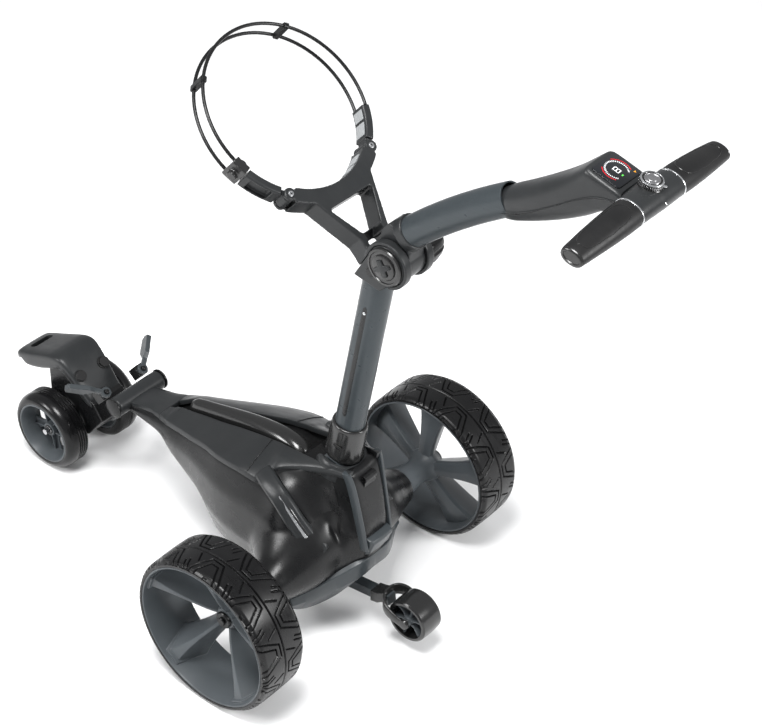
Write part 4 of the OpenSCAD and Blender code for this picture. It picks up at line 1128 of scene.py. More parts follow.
    def quarter(self) -> None:
        """Hollowed dark panels between each rib and the tail column."""
        low = [(54, 271, 70), (30, 262, 79), (6, 244, 81), (-13, 222, 78), (-30, 201, 73), (-41, 184, 66)]
        high = [(-22, 299, 37), (-31, 275, 37.5), (-38, 250, 38.5), (-44, 226, 40), (-50, 202, 43),
                (-55, 180, 47)]
        for side, name in SIDES:
            rows = []
            for (ax, az, ay), (bx, bz, by) in zip(low, high):
                row = []
                for t in np.linspace(0, 1, 11):
                    sag = 6.5 * math.sin(math.pi * t) ** 0.8
                    row.append(at(ax + (bx - ax) * t + 0.35 * sag, side * (ay + (by - ay) * t - sag),
                                  az + (bz - az) * t - 0.25 * sag))
                row += [p + at(10, -side * 16, -3) - at(0, 0, 0) for p in (row[-1], row[5], row[0])]
                rows.append(row)
            panel = Bench.skin("quarter_panel_" + name, flow(rows, 30))
            Bench.bevel(panel, 0.0012, 2, 40)
            Bench.smooth(panel, 40)
            keep(panel, "chassis", NEAR_BLACK)

    def band(self) -> None:
        """Slate lower band across the tail, creased along its middle and running out at the hubs."""
        rows = []
        stops = ((0, -86, 146, -80, 116, -50, 70), (30, -84, 144, -78, 112, -50, 69),
                 (56, -70, 132, -66, 104, -44, 64), (86, -50, 116, -46, 92, -32, 60),
                 (108, -33, 103, -32, 86, -24, 64), (128, -22, 98, -24, 86, -20, 78))
        for y, ux, uz, mx, mz, lx, lz in [(-s[0], *s[1:]) for s in stops[:0:-1]] + list(stops):
            rows.append([at(ux + 22, y, uz + 3), at(ux, y, uz), at(mx - 3, y, mz), at(lx, y, lz),
                         at(lx + 30, y, lz)])
        band = Bench.skin("tail_band", flow(rows, 60))
        Bench.bevel(band, 0.0015, 3, 30)
        Bench.smooth(band, 36)
        keep(band, "chassis", SLATE)

    def tail(self) -> None:
        """Latch recess: rails, dark plate, ledge, and the round boss under the collar."""
        for side, name in SIDES:
            rows = []
            for x, y, z, wide in ((-58, 36, 309, 6), (-66, 33.5, 285, 6), (-75, 31.5, 245, 6),
                                  (-84, 30, 200, 5.5), (-89, 28.5, 168, 4.5)):
                rows.append([at(x + 8, side * (y + wide), z), at(x - 1, side * (y + wide * 0.6), z),
                             at(x - 3, side * y, z), at(x - 3, side * (y - 3), z),
                             at(x + 10, side * (y - 4), z)])
            rail = Bench.skin("latch_rail_" + name, flow(rows, 24))
            Bench.bevel(rail, 0.0010, 2, 30)
            Bench.smooth(rail, 34)
            keep(rail, "chassis", SLATE)
        plate = [[at(x, 27, z), at(x - 2, 22, z), at(x - 2, -22, z), at(x, -27, z), at(x + 12, -27, z),
                  at(x + 12, 27, z)] for x, z in ((-60, 262), (-70, 244), (-78, 214), (-83, 188))]
        face = Bench.skin("latch_plate", flow(plate, 16))
        Bench.bevel(face, 0.0012, 2, 30)
        keep(face, "chassis", NEAR_BLACK)
        ledge = [[at(-98, y, 186), at(-99, y, 180), at(-91, y, 158), at(-80, y, 152), at(-80, y, 190)]
                 for y in (-25, -22, 0, 22, 25)]
        for row, back in zip(ledge, (6, 1.5, 0, 1.5, 6)):
            for p in row[:3]:
                p.x += back / 1000
        shelf = Bench.skin("latch_ledge", ledge)
        Bench.bevel(shelf, 0.0022, 3, 25)
        Bench.smooth(shelf, 40)
        keep(shelf, "chassis", SLATE)
        lean = Matrix.Translation(at(-15, 0, 286)) @ rotation(-10.3, "Y")
        boss = Bench.turned("mast_boss", [
            (0.027, -0.004), (0.041, -0.004), (0.0395, 0.013), (0.0375, 0.0195), (0.0345, 0.0222),
            (0.0305, 0.0226), (0.0288, 0.0212), (0.027, 0.012)], lean, 96)
        gap = mm([(-6, -28.2), (60, -28.2), (60, 28.2), (-6, 28.2)])
        Bench.cut(boss, Bench.plate("boss_gap", gap, 0.06, lean @ Matrix.Translation((0, 0, -0.02)), 0))
        keep(boss, "chassis", GRAPHITE)

    def build(self) -> None:
        """Make every shell."""
        self.hull()
        self.deck()
        self.duct()
        self.rib()
        self.quarter()
        self.band()
        self.tail()


# ---------------------------------------------------------------- handle


@dataclass
class Handle:
    """Console, screen, cross bar with its grips and rings, and the speed dial."""

    bar_tilt: float = 12.0
    screen_tilt: float = 15.8
    bar: list[tuple[float, float, float, float, float]] = field(default_factory=lambda: [
        (0, -495, 961, 23, 17.5), (30, -495.5, 960.6, 21.8, 16.8), (43, -496, 960, 21, 16.2),
        (62, -496, 959.6, 21.4, 16.2), (90, -495.6, 958.2, 20.6, 15.2), (120, -495, 956.4, 19, 13.4),
        (142, -494.4, 954.6, 17.4, 11.8), (152, -494, 953.6, 16.6, 11.2), (156.5, -494, 953, 15.6, 10.4)])

    def ring(self, y: float, grow: float = 0.0, count: int = 40) -> list[Vector]:
        """Section of the cross bar at a place across."""
        table = np.array(self.bar)
        cx, cz, a, b = (float(np.interp(abs(y), table[:, 0], table[:, i])) for i in range(1, 5))
        tilt = math.radians(self.bar_tilt)
        points = []
        for t in np.linspace(0, 2 * math.pi, count, endpoint=False):
            u = (a + grow) * math.copysign(abs(math.cos(t)) ** 0.94, math.cos(t))
            w = (b + grow) * math.copysign(abs(math.sin(t)) ** 0.94, math.sin(t))
            points.append(at(cx + u * math.cos(tilt) - w * math.sin(tilt), y,
                             cz + u * math.sin(tilt) + w * math.cos(tilt)))
        return points

    def grips(self) -> None:
        """Bar core, silver rings, tapered grips and their end caps."""
        core = Bench.skin("bar_centre", [self.ring(y) for y in np.linspace(-43, 43, 24)])
        Bench.smooth(core, 50)
        keep(core, "handle", GRAPHITE, "bar_core")
        for side, name in SIDES:
            grip = Bench.skin("bar_grip_" + name, [self.ring(side * y) for y in (
                45.2, 50, 62, 76, 90, 105, 120, 132, 142, 148, 152, 154.5)])
            Bench.smooth(grip, 50)
            keep(grip, "handle", RUBBER, "grip_" + name)
            trim = Bench.skin("bar_ring_" + name, [
                self.ring(side * 42.8, -0.6), self.ring(side * 43, 0.5), self.ring(side * 43.5, 0.8),
                self.ring(side * 44.7, 0.8), self.ring(side * 45.2, 0.5), self.ring(side * 45.4, -0.6)])
            Bench.smooth(trim, 40)
            keep(trim, "handle", SILVER)
            cap = Bench.skin("bar_end_" + name, [
                self.ring(side * 154.3, -0.2), self.ring(side * 155.2, 0.3), self.ring(side * 156.6, 0.0),
                self.ring(side * 157.4, -1.4), self.ring(side * 157.4, -3.4),
                self.ring(side * 156.2, -4.4)])
            Bench.smooth(cap, 40)
            keep(cap, "handle", GLOSS)
            path = []
            for t in np.linspace(0, 2 * math.pi, 48, endpoint=False):
                y = 100 + 44 * math.copysign(abs(math.cos(t)) ** 0.6, math.cos(t))
                turn = math.pi * (0.5 - 0.24 * math.copysign(abs(math.sin(t)) ** 0.7, math.sin(t)))
                around = self.ring(side * y, 0.05, 96)
                path.append(around[int(round(turn / (2 * math.pi) * 96)) % 96])
            keep(Bench.wire("grip_line_" + name, path, 0.0005, 6, True), "handle", GLOSS)

    def console(self) -> None:
        """Console that widens from the tube to a flat square bezel."""
        stations = [(-284, 886, -298, 845, 18.5, 2.2), (-300, 897.5, -310, 849, 22.5, 2.4),
                    (-322, 911, -328, 857, 25, 2.6), (-345, 926, -350, 867.5, 27, 2.9),
                    (-368, 942, -374, 880, 28.5, 3.2), (-388, 957, -396, 893, 30, 3.7),
                    (-405, 972, -416, 906, 31.2, 4.4), (-414, 980, -428, 915, 31.8, 5.2),
                    (-420, 983.6, -438, 923, 32, 6), (-432, 980.4, -447, 929, 32, 7),
                    (-450, 975.2, -462, 935, 31.6, 7), (-464, 971.2, -474, 938, 31.2, 6.5),
                    (-471, 968.6, -481, 941, 30.4, 5)]
        rows = []
        for tx, tz, bx, bz, w, n in stations:
            row = []
            for t in np.linspace(0, 2 * math.pi, 56, endpoint=False):
                across = w * math.copysign(abs(math.cos(t)) ** (2 / n), math.cos(t))
                up = 0.5 + 0.5 * math.copysign(abs(math.sin(t)) ** (2 / n), math.sin(t))
                narrow = 1 - 0.22 * (1 - up) ** 2
                row.append(at(bx + (tx - bx) * up, across * narrow, bz + (tz - bz) * up))
            rows.append(row)
        shell = Bench.skin("console_shell", flow(rows, 70))
        Bench.smooth(shell, 34)
        keep(shell, "handle", GRAPHITE, "console_cover", "console_base")
        for side, name in SIDES:
            seam = [[at(x, side * y, z)] for x, z, y in (
                (-296, 862, 21.4), (-330, 878, 25.4), (-370, 905, 28.2), (-410, 934, 30.8),
                (-440, 950, 31.6), (-470, 956, 30.8))]
            line = [row[0] for row in flow(seam, 16)]
            keep(Bench.wire("console_seam_" + name, line, 0.0005, 6), "handle", NEAR_BLACK)

    def on_screen(self, lift: float = 0.0) -> Matrix:
        """Matrix of the screen's plane: local X to the driver's right, local Y away from the driver."""
        tilt = math.radians(self.screen_tilt)
        right, away = Vector((0, -1, 0)), Vector((math.cos(tilt), 0, math.sin(tilt)))
        basis = Matrix((right, away, right.cross(away))).transposed().to_4x4()
        return Matrix.Translation(at(-445.5, 0, 977.1)) @ basis @ Matrix.Translation((0, 0, lift / 1000))

    def arc(self, inner: float, outer: float, start: float, end: float) -> list[Point2]:
        """Outline of a slice of a ring, in millimetres and degrees."""
        angles = np.radians(np.linspace(start, end, max(3, int(abs(end - start) / 6))))
        return mm([(outer * math.cos(a), outer * math.sin(a)) for a in angles]
                  + [(inner * math.cos(a), inner * math.sin(a)) for a in angles[::-1]])

    def screen(self) -> None:
        """Dark glass with a round speed gauge."""
        glass = Bench.plate("display_glass", mm(rounded_box(50, 43, 5)), 0.0026,
                            self.on_screen(-1.6), 0.0006)
        keep(glass, "handle", GLASS, "screen_glass")
        red = [self.arc(18.0, 19.1, a, b) for a, b in ((-34, 62), (128, 214))]
        self.mark("gauge_red", red, CRIMSON)
        ticks = [self.arc(14.0, 16.2, a, a + 4) for a in range(-50, 228, 9)]
        self.mark("gauge_ticks", ticks, WHITE)
        bars = [[(4.8, 5.6), (4.4, 0.2), (3.3, 1), (3.3, 4.2)],
                [(-4.2, 6.2), (4.2, 6.2), (3, 4.6), (-3, 4.6)],
                [(-4.8, 5.6), (-3.3, 4.2), (-3.3, 1), (-4.4, 0.2)],
                [(-4.4, -0.2), (-3.3, -1), (-3.3, -4.2), (-4.8, -5.6)],
                [(-3.4, 0.8), (3.4, 0.8), (4.2, 0), (3.4, -0.8), (-3.4, -0.8), (-4.2, 0)],
                [(4.4, -0.2), (4.8, -5.6), (3.3, -4.2), (3.3, -1)],
                [(-4.2, -6.2), (-3, -4.6), (3, -4.6), (4.2, -6.2)]]
        size = 0.82
        self.mark("gauge_figure", [mm([(x * size, y * size) for x, y in bar]) for bar in bars], WHITE)
        self.mark("gauge_green", [mm([(-3.2, -9.2), (0, -9.2), (0, -11.4), (-3.2, -11.4)])], GREEN)
        self.mark("gauge_amber", [mm([(15.4, -14.6), (18.8, -14.6), (17.1, -17.6)])], AMBER)

    def mark(self, name: str, shapes: list[list[Point2]], finish: Finish) -> None:
        """Thin raised marks on the glass."""
        place, height = self.on_screen(0.95), 0.00022
        marks = [Bench.plate(f"{name}_{i}", shape, height, place, 0) for i, shape in enumerate(shapes)]
        keep(Bench.join(marks, name), "handle", finish)

    def dial(self) -> None:
        """Speed dial: knurled side, chrome ring, pressed top and pointer."""
        lean = Matrix.Translation(at(-494, 0, 977)) @ rotation(-self.bar_tilt, "Y")
        side = Bench.turned("dial_side", [
            (0.0118, -0.003), (0.0154, -0.003), (0.0156, 0.0012), (0.0149, 0.002), (0.0149, 0.0080),
            (0.0141, 0.0090), (0.0124, 0.0090), (0.0118, 0.0084)], lean, 72)
        keep(side, "speed_dial", GLOSS, "dial_ring")
        chrome = Bench.turned("dial_chrome", [
            (0.0128, 0.0086), (0.0146, 0.0086), (0.0150, 0.0092), (0.0142, 0.0103), (0.0131, 0.0105),
            (0.0128, 0.0100)], lean, 72)
        keep(chrome, "speed_dial", SILVER)
        flute = [(0, 0), (0.0004, 0), (0.0004, 0.001), (0, 0.001)]
        grooves = []
        for i in range(36):
            spin = lean @ rotation(i * 10, "Z") @ Matrix.Translation((0.01475, -0.0005, 0.0026))
            grooves.append(Bench.plate("flute", flute, 0.0046, spin, 0))
        keep(Bench.join(grooves, "dial_flutes"), "speed_dial", STEEL)
        shadow = Bench.turned("dial_gap", [
            (0.0108, 0.0066), (0.0122, 0.0066), (0.0122, 0.0088), (0.0108, 0.0088)], lean, 72)
        keep(shadow, "speed_dial", GLOSS)
        top = Bench.turned("dial_top", [
            (0.0, 0.0074), (0.0106, 0.0074), (0.0106, 0.0098), (0.0100, 0.0106), (0.0086, 0.0108),
            (0.0083, 0.0103), (0.0060, 0.0104), (0.0056, 0.0109), (0.0, 0.0112)], lean, 72, False)
        keep(top, "dial_button", STEEL, "dial_button")
        pointer = mm([(-14, -2.2), (-19.5, -1.4), (-20.2, 0), (-19.5, 1.4), (-14, 2.2)])
        tip = Bench.plate("dial_pointer", pointer, 0.0020,
                          lean @ rotation(35, "Z") @ Matrix.Translation((0, 0, 0.0012)), 0.0006)
        keep(tip, "speed_dial", SILVER)
        mark = Bench.plate("centre_mark", mm([(-11, -0.8), (-11, 0.8), (0, 0.8), (0, -0.8)]), 0.0008,
                           Matrix.Translation(at(-511.5, 0, 967.6)) @ rotation(-46, "Y"), 0.0002)
        keep(mark, "handle", SILVER)

    def build(self) -> None:
        """Make the handle's pieces."""
        self.console()
        self.grips()
        self.screen()
        self.dial()


# ---------------------------------------------------------------- mast and bag support


@dataclass
class Mast:
    """Collar, side recess, hub discs, ribbed sleeve and bag support."""

    lean: float = -10.3
    hub: Point3 = (-116.97, 0, 704.51)
    bag_lean: float = 40.9
    loop: float = 129.0

    def along(self, distance: float) -> Matrix:
        """Matrix at a distance up the mast, local Z up along it."""
        return (Matrix.Translation(at(-15, 0, 286)) @ rotation(self.lean, "Y")
                @ Matrix.Translation((0, 0, distance / 1000)))

    def oval(self, distance: float, a: float, b: float, count: int = 64) -> list[Vector]:
        """Oval section of the mast at a distance up it."""
        place = self.along(distance)
        return [place @ Vector((a / 1000 * math.cos(t), b / 1000 * math.sin(t), 0))
                for t in np.linspace(0, 2 * math.pi, count, endpoint=False)]

    def tube(self) -> None:
        """Black sheet down each side of the tube as painted shade of a long shallow recess, and the clamp
        collar.
        """
        start, end = 112, 330
        for side, name in SIDES:
            rows = []
            for d in np.linspace(start, end, 40):
                past = max(0.0, 1 - (d - start) / 6, 1 - (end - d) / 6)
                close = min(1.0, math.sqrt(max(0.0, 1 - past ** 2)))
                place, half = self.along(d), 0.28 * max(0.05, close)
                rows.append([place @ Vector((0.02362 * math.sin(t), side * 0.02012 * math.cos(t), 0))
                             for t in np.linspace(-half, half, 9)])
            # Thin black sheet lying on the tube: painted shade where the recess is, with no cut in the tube.
            strip = Bench.skin("mast_recess_shade_" + name, rows, False)
            Bench.finish(strip, "SOLIDIFY", thickness=0.0003, offset=0.0)
            keep(strip, "mast", NEAR_BLACK)
            outwards = self.along(318) @ Matrix.Translation((0, side * 0.02, 0)) @ rotation(-90 * side, "X")
            stud = Bench.turned("recess_stud_" + name, [
                (0.0, -0.001), (0.0026, -0.001), (0.0026, 0.0006), (0.0019, 0.0011), (0.0, 0.0012)],
                outwards, 24, False)
            keep(stud, "mast", SILVER)
        rows = [self.oval(d, a, b) for d, a, b in (
            (22, 27.2, 24.2), (24, 29.4, 26.6), (30, 30.2, 27.4), (58, 29.6, 26.8), (80, 28.8, 26),
            (86, 28.0, 25.2), (89, 26.6, 23.6), (89.4, 24.0, 20.6))]
        collar = Bench.skin("mast_clamp", flow(rows, 36))
        Bench.smooth(collar, 40)
        keep(collar, "mast", GLOSS, "mast_collar")
        for side, name in ((1, "l56"), (-1, "r56")):
            outwards = (self.along(56) @ Matrix.Translation((-0.004, side * 0.0267, 0))
                        @ rotation(-90 * side, "X"))
            slot = Bench.plate("clamp_slot_" + name, mm(rounded_box(16, 4, 1.9)), 0.0012, outwards, 0.0004)
            keep(slot, "mast", RUBBER)

    def hubs(self) -> None:
        """Near cap disc with its lug and knob, and the ribbed sleeve on the far side."""
        place = axis_y(at(*self.hub), 1)
        disc = Bench.turned("hub_disc", [
            (0.0, 0.0305), (0.0285, 0.0305), (0.0290, 0.0335), (0.0278, 0.0352), (0.0246, 0.0358),
            (0.0238, 0.0344), (0.0196, 0.0342), (0.0190, 0.0362), (0.0172, 0.0370), (0.0, 0.0374)],
            place, 72, False)
        keep(disc, "mast", GLOSS)
        cross = mm([(-15, -3), (-5, -4.4), (-4.4, -13), (4.4, -13), (5, -4.4), (15, -3), (15, 3), (5, 4.4),
                    (4.4, 13), (-4.4, 13), (-5, 4.4), (-15, 3)])
        lug = Bench.plate("hub_lug", cross, 0.003,
                          place @ Matrix.Translation((0, 0, 0.0368)) @ Matrix.Rotation(0.5, 4, "Z"), 0.0010)
        keep(lug, "mast", GRAPHITE)
        knob = Bench.turned("hub_knob", [
            (0.0, 0.0), (0.0075, 0.0), (0.0082, 0.0015), (0.0082, 0.011), (0.0070, 0.0128), (0.0, 0.0132)],
            axis_y(at(self.hub[0] + 27, 18, self.hub[2] - 22), 1), 40, False)
        keep(knob, "mast", NEAR_BLACK)
        rows = []
        for y, r, deep in ((-30.5, 29, 0), (-33, 31.5, 1.6), (-42, 32, 2.6), (-54, 30.5, 2.6),
                           (-62, 27.5, 2.2), (-66, 24, 1), (-67, 20, 0)):
            ring = []
            for t in np.linspace(0, 2 * math.pi, 144, endpoint=False):
                radius = r - deep * max(0.0, math.cos(12 * t)) ** 0.6
                ring.append(at(self.hub[0] + radius * math.cos(t), y, self.hub[2] + radius * math.sin(t)))
            rows.append(ring)
        sleeve = Bench.skin("hub_ribbed_sleeve", flow(rows, 26))
        Bench.smooth(sleeve, 45)
        keep(sleeve, "mast", NEAR_BLACK, "hub_sleeve")

    def support(self) -> None:
        """Head, handle knuckle, bag bracket, strap arms and buckle, with blended edges."""
        for copy in (
                SoftCopy("mast_head", "mast_top", "mast", GRAPHITE, 0.0011, 5),
                SoftCopy("bag_bracket", "bag_cradle", "mast", GRAPHITE, 0.0012, 6),
                SoftCopy("handle_elbow", "handle_knuckle", "handle", GRAPHITE, 0.0011, 4),
                SoftCopy("strap_arm_left", "strap_hook_left", "strap_arm_left", GRAPHITE, 0.0009, 5),
                SoftCopy("strap_arm_right", "strap_hook_right", "strap_arm_right", GRAPHITE, 0.0009, 5),
                SoftCopy("strap_buckle", "strap_clasp", "strap_arm_right", GLOSS, 0.0009, 4)):
            copy.build()

    def on_loop(self, m: float, y: float, n: float) -> Vector:
        """Place given in the strap loop's frame: up its plane, left, and along the bag."""
        tilt = math.radians(self.bag_lean)
        return (at(93.3, 0, 847.8) + Vector((math.cos(tilt), 0, math.sin(tilt))) * m / 1000
                + Vector((0, 1, 0)) * y / 1000 + Vector((-math.sin(tilt), 0, math.cos(tilt))) * n / 1000)

    def fittings(self) -> None:
        """Ribs inside the right arm and the bracket, coloured pale grey as a painted highlight of the light
        they reflect, hinge screws, and the clasp's knob.
        """
        for name, body, spans in (
                ("arm_rib", "strap_arm_right", ((47.0, 56.5, 122.4), (58.5, 65.5, 122.4))),
                ("bracket_rib", "mast", ((14.0, 21.0, 119.9), (23.0, 31.0, 119.9)))):
            for i, (start, end, radius) in enumerate(spans):
                rows = []
                for turn in np.radians(np.linspace(start, end, 7)):
                    rows.append([self.on_loop(-r * math.cos(turn), -r * math.sin(turn), n) for r, n in (
                        (radius - 0.9, -10.5), (radius - 1.3, 0), (radius - 0.9, 10.5), (radius + 0.8, 10.5),
                        (radius + 0.8, -10.5))])
                rib = Bench.skin(f"{name}_{i}", rows)
                Bench.bevel(rib, 0.0004, 2, 40)
                Bench.smooth(rib, 40)
                keep(rib, body, PAINTED_RIB_HIGHLIGHT)
        upright = rotation(-self.bag_lean, "Y")
        for side, name in SIDES:
            screw = Bench.turned("strap_screw_" + name, [
                (0.0014, -0.003), (0.0042, -0.003), (0.0044, 0.0006), (0.0036, 0.0016), (0.0018, 0.0018),
                (0.0014, 0.0008)], Matrix.Translation(self.on_loop(-101.7, side * 83, 17.0)) @ upright, 32)
            keep(screw, "mast", SILVER)
        turn = math.radians(74)
        clasp = self.on_loop(-self.loop * math.cos(turn), self.loop * math.sin(turn), 13.5)
        knob = Bench.turned("clasp_knob", [
            (0.0, -0.004), (0.0078, -0.004), (0.0084, 0.0005), (0.0080, 0.0036), (0.0062, 0.0044),
            (0.0056, 0.0034), (0.0, 0.0036)], Matrix.Translation(clasp) @ upright, 40, False)
        keep(knob, "strap_arm_right", RUBBER)

    def build(self) -> None:
        """Make the mast's pieces."""
        self.tube()
        self.hubs()
        self.support()
        self.fittings()


# ---------------------------------------------------------------- front and anti-tip


@dataclass
class Front:
    """Front bag shelf with its hand slot, cheeks, levers and pads, with blended edges."""

    spine: list[tuple[float, float, float, float]] = field(default_factory=lambda: [
        (687, 150, 31, 14), (690, 160, 35, 24), (684, 171.5, 38, 31), (665, 180.5, 40, 34),
        (640, 190.5, 41.5, 35), (612, 202, 43, 33), (592, 209.5, 43.5, 33), (576, 211.5, 43.5, 32),
        (562, 206, 42.5, 30), (546, 192, 41, 27), (527, 171, 39, 24), (509, 150, 37, 21),
        (498, 137, 34, 17)])

    def shelf(self) -> None:
        """Shelf that curves over its crest and down to the rest face, with a slot near its tip."""
        rows = []
        for i, (x, z, half, deep) in enumerate(self.spine):
            before, after = self.spine[max(i - 1, 0)], self.spine[min(i + 1, len(self.spine) - 1)]
            run = Vector((after[0] - before[0], 0, after[1] - before[1])).normalized()
            down = Vector((-run.z, 0, run.x))
            down = -down if down.z > 0 or (abs(down.z) < 0.2 and down.x > 0) else down
            row = []
            for t in np.linspace(0, 2 * math.pi, 64, endpoint=False):
                across = half * math.copysign(abs(math.cos(t)) ** 0.36, math.cos(t))
                fall = 0.5 - 0.5 * math.copysign(abs(math.sin(t)) ** 0.42, math.sin(t))
                across *= 1 - 0.10 * fall
                row.append(at(x + down.x * deep * fall, across, z + down.z * deep * fall))
            rows.append(row)
        body = Bench.skin("bag_shelf", flow(rows, 90))
        Bench.finish(body, "REMESH", mode="VOXEL", voxel_size=0.0014)
        Bench.finish(body, "SMOOTH", factor=0.5, iterations=4)
        Bench.cut(body, Bench.plate("slot_tool", mm(rounded_box(16, 44, 6)), 0.12,
                                    Matrix.Translation(at(660, 0, 120)), 0))
        Bench.smooth(body, 40)
        keep(body, "front_support", GRAPHITE, "front_bracket")
        for side, name in SIDES:
            face = Matrix.Translation(at(538, side * 25, 183.5)) @ rotation(-49, "Y")
            pad = Bench.turned("rest_pad_" + name, [
                (0.0, -0.002), (0.0098, -0.002), (0.0104, 0.0006), (0.0098, 0.0024), (0.0084, 0.0026),
                (0.0079, 0.0012), (0.0050, 0.0014), (0.0046, 0.0026), (0.0, 0.0030)], face, 40, False)
            keep(pad, "front_support", RUBBER)

    def build(self) -> None:
        """Make the front's pieces."""
        self.shelf()
        for copy in (
                SoftCopy("front_fork", "front_cheeks", "front_support", NEAR_BLACK, 0.0014, 7),
                SoftCopy("front_pivot_tube", "front_knuckle", "front_support", GRAPHITE, 0.0012, 3),
                SoftCopy("lever_blocks", "lever_seats", "front_support", NEAR_BLACK, 0.0010, 4),
                SoftCopy("bag_lever_left", "lever_blade_left", "bag_lever_left", SLATE, 0.0008, 3),
                SoftCopy("bag_lever_right", "lever_blade_right", "bag_lever_right", SLATE, 0.0008, 3)):
            copy.build()
        for side, name in SIDES:
            cap = Bench.turned("pivot_cap_" + name, [
                (0.0, 0.0012), (0.0172, 0.0012), (0.0176, 0.0024), (0.0172, 0.0040), (0.0120, 0.0062),
                (0.0, 0.0076)], axis_y(at(430, side * 50.5, 187), side), 48, False)
            keep(cap, "front_support", NEAR_BLACK)


@dataclass
class AntiTip:
    """Rear stabiliser wheel: drum tyre with a dished, spoked hub in a curved yoke."""

    place: Point3 = (-164, 0, 62)
    radius: float = 0.0365
    half: float = 0.0215

    def yoke(self) -> None:
        """Curved strap from the arm's end round both sides of the wheel to its axle."""
        rows = []
        for x, y, z, tall in ((-168, 27.5, 60, 11), (-158, 28, 62, 13), (-142, 28.5, 67, 16),
                              (-127, 26, 72, 19), (-115, 16, 76, 21), (-111, 0, 77, 22)):
            turn = math.atan2(y, 1 + (x + 111) * -0.55) if y > 0 else 0.0
            nx, ny = math.cos(turn), math.sin(turn)
            rows.append([at(x + a * nx, y + a * ny, z + h) for a, h in (
                (-2.2, -tall / 2), (-2.6, 0), (-2.2, tall / 2), (2.2, tall / 2), (2.6, 0),
                (2.2, -tall / 2))])
        far = [[Vector((p.x, -p.y, p.z)) for p in row] for row in rows[-2::-1]]
        strap = Bench.skin("tip_yoke", flow(rows + far, 60))
        Bench.bevel(strap, 0.0010, 2, 40)
        Bench.smooth(strap, 45)
        boss = [Bench.turned("yoke_boss", [
            (0.0, 0.0255), (0.0085, 0.0255), (0.0090, 0.0275), (0.0080, 0.0300), (0.0045, 0.0306),
            (0.0, 0.0306)], axis_y(at(*self.place), side), 32, False) for side in (1, -1)]
        neck = Bench.skin("yoke_neck", [
            [at(x, -w, mid - h), at(x, -w, mid + h), at(x, w, mid + h), at(x, w, mid - h)]
            for x, w, h, mid in ((-84, 12.5, 11, 62), (-98, 12.5, 11, 65.5), (-112, 11, 10, 74))])
        Bench.bevel(neck, 0.002, 3, 30)
        Bench.smooth(neck, 40)
        keep(Bench.join([strap, neck] + boss, "tip_yoke"), "chassis", GLOSS, "anti_tip_fork")

    def build(self) -> None:
        """Make the yoke and the wheel."""
        self.yoke()
        r, w = self.radius, self.half
        tyre = Bench.turned("tip_tyre", [
            (r - 0.0075, -w + 0.004), (r - 0.0068, -w), (r - 0.003, -w), (r - 0.0008, -w + 0.0022),
            (r, -0.004), (r, 0.004), (r - 0.0008, w - 0.0022), (r - 0.003, w), (r - 0.0068, w),
            (r - 0.0075, w - 0.004)],
            axis_y(at(*self.place), 1), 80)
        keep(tyre, "anti_tip_wheel", GLOSS, "anti_tip_wheel")
        pieces = [Bench.turned("tip_hub", [(0.0032, -w + 0.002), (0.0072, -w + 0.002), (0.0078, -w + 0.004),
                  (0.0078, w - 0.004), (0.0072, w - 0.002), (0.0032, w - 0.002)], Matrix.Identity(4), 40)]
        for i in range(6):
            web = Bench.skin("tip_web", [[(x, -t, -h), (x, t, -h), (x, t, h), (x, -t, h)] for x, t, h in (
                (0.0070, 0.0016, w - 0.0045), (0.015, 0.0012, w - 0.0065),
                (r - 0.0068, 0.0020, w - 0.0045))])
            Bench.bevel(web, 0.0005, 2, 30)
            pieces.append(Bench.place(web, rotation(i * 60 + 15, "Z")))
        hub = Bench.place(Bench.join(pieces, "tip_wheel_hub"), axis_y(at(*self.place), 1))
        Bench.smooth(hub, 35)
        keep(hub, "anti_tip_wheel", RIM)


PARTS: tuple[type, ...] = (Chassis, Handle, Mast, Front, AntiTip)


# ---------------------------------------------------------------- stage


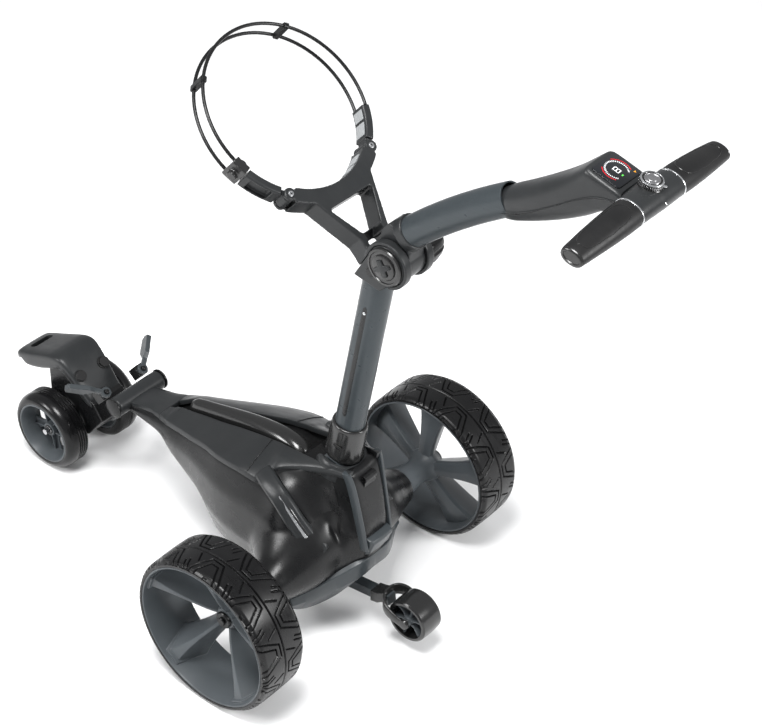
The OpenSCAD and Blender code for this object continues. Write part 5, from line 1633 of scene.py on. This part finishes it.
@dataclass
class Studio:
    """Pale floor, soft light and the camera."""

    place: Point3 = (-1.6413, 1.7903, 2.2697)
    yaw: float = -50.63
    pitch: float = -37.23
    roll: float = 1.07
    lens: float = 96.74

    def camera(self) -> None:
        """The camera, a little below three quarters from behind on the left."""
        yaw, pitch, roll = (math.radians(v) for v in (self.yaw, self.pitch, self.roll))
        forward = Vector((math.cos(pitch) * math.cos(yaw), math.cos(pitch) * math.sin(yaw), math.sin(pitch)))
        right = forward.cross(Vector((0, 0, 1))).normalized()
        up = right.cross(forward)
        tilted = math.cos(roll) * right + math.sin(roll) * up
        top = -math.sin(roll) * right + math.cos(roll) * up
        data = bpy.data.cameras.new("camera")
        data.lens = self.lens
        data.sensor_width = 36
        data.clip_end = 50
        camera = bpy.data.objects.new("camera", data)
        basis = Matrix((tilted, top, -forward)).transposed().to_4x4()
        camera.matrix_world = Matrix.Translation(self.place) @ basis
        bpy.context.scene.collection.objects.link(camera)
        bpy.context.scene.camera = camera

    def floor(self) -> None:
        """A wide flat pale floor."""
        Bench.clear()
        bpy.ops.mesh.primitive_plane_add(size=30, location=(0, 0, 0))
        obj = bpy.context.object
        obj.name = "floor"
        bpy.ops.object.mode_set(mode="EDIT")
        bpy.ops.mesh.subdivide(number_cuts=3)
        bpy.ops.object.mode_set(mode="OBJECT")
        Bench.place(obj, Matrix.Identity(4))
        material = bpy.data.materials.new("studio_floor")
        material.use_nodes = True
        nodes = Nodes(material.node_tree)
        out = nodes.add("ShaderNodeOutputMaterial")
        shader = nodes.add("ShaderNodeBsdfPrincipled", Roughness=0.55)
        nodes.join(shader.outputs[0], out.inputs[0])
        cloud = nodes.add("ShaderNodeTexNoise", Scale=2.0, Detail=2.0)
        nodes.join(nodes.add("ShaderNodeTexCoord").outputs["Object"], cloud.inputs["Vector"])
        nodes.join(nodes.blend(cloud.outputs["Fac"], (0.90, 0.90, 0.90), (0.93, 0.93, 0.93)),
                   shader.inputs["Base Color"])
        obj.data.materials.append(material)

    def lamp(self, name: str, place: Point3, aim: Point3, size: float, power: float) -> None:
        """A square soft light."""
        data = bpy.data.lights.new(name, "AREA")
        data.shape = "SQUARE"
        data.size = size
        data.energy = power
        lamp = bpy.data.objects.new(name, data)
        lamp.location = place
        lamp.rotation_euler = (Vector(aim) - Vector(place)).to_track_quat("-Z", "Y").to_euler()
        bpy.context.scene.collection.objects.link(lamp)

    def light(self) -> None:
        """Bright even sky and three soft boxes."""
        world = bpy.data.worlds.new("studio")
        world.use_nodes = True
        background = world.node_tree.nodes["Background"]
        background.inputs["Color"].default_value = (0.97, 0.98, 1.0, 1)
        background.inputs["Strength"].default_value = 0.47
        bpy.context.scene.world = world
        self.lamp("key", (-0.4, 1.0, 3.4), (0, 0, 0.3), 1.2, 135)
        self.lamp("side", (-3.0, -1.0, 2.0), (0, 0, 0.4), 1.0, 90)
        self.lamp("front", (1.6, 2.6, 1.9), (0, 0, 0.3), 1.0, 70)

    def build(self) -> None:
        """Set the whole studio."""
        self.camera()
        self.floor()
        self.light()


def main() -> None:
    """Build every piece in order."""
    logging.basicConfig(level=logging.INFO, format="%(message)s")
    bpy.context.scene.view_settings.view_transform = "Standard"
    Studio().build()
    dress_cad()
    for side in (1, -1):
        RearWheel(side).build()
        FrontWheel(side).build()
    for group in PARTS:
        group().build()


if __name__ == "__main__":
    main()
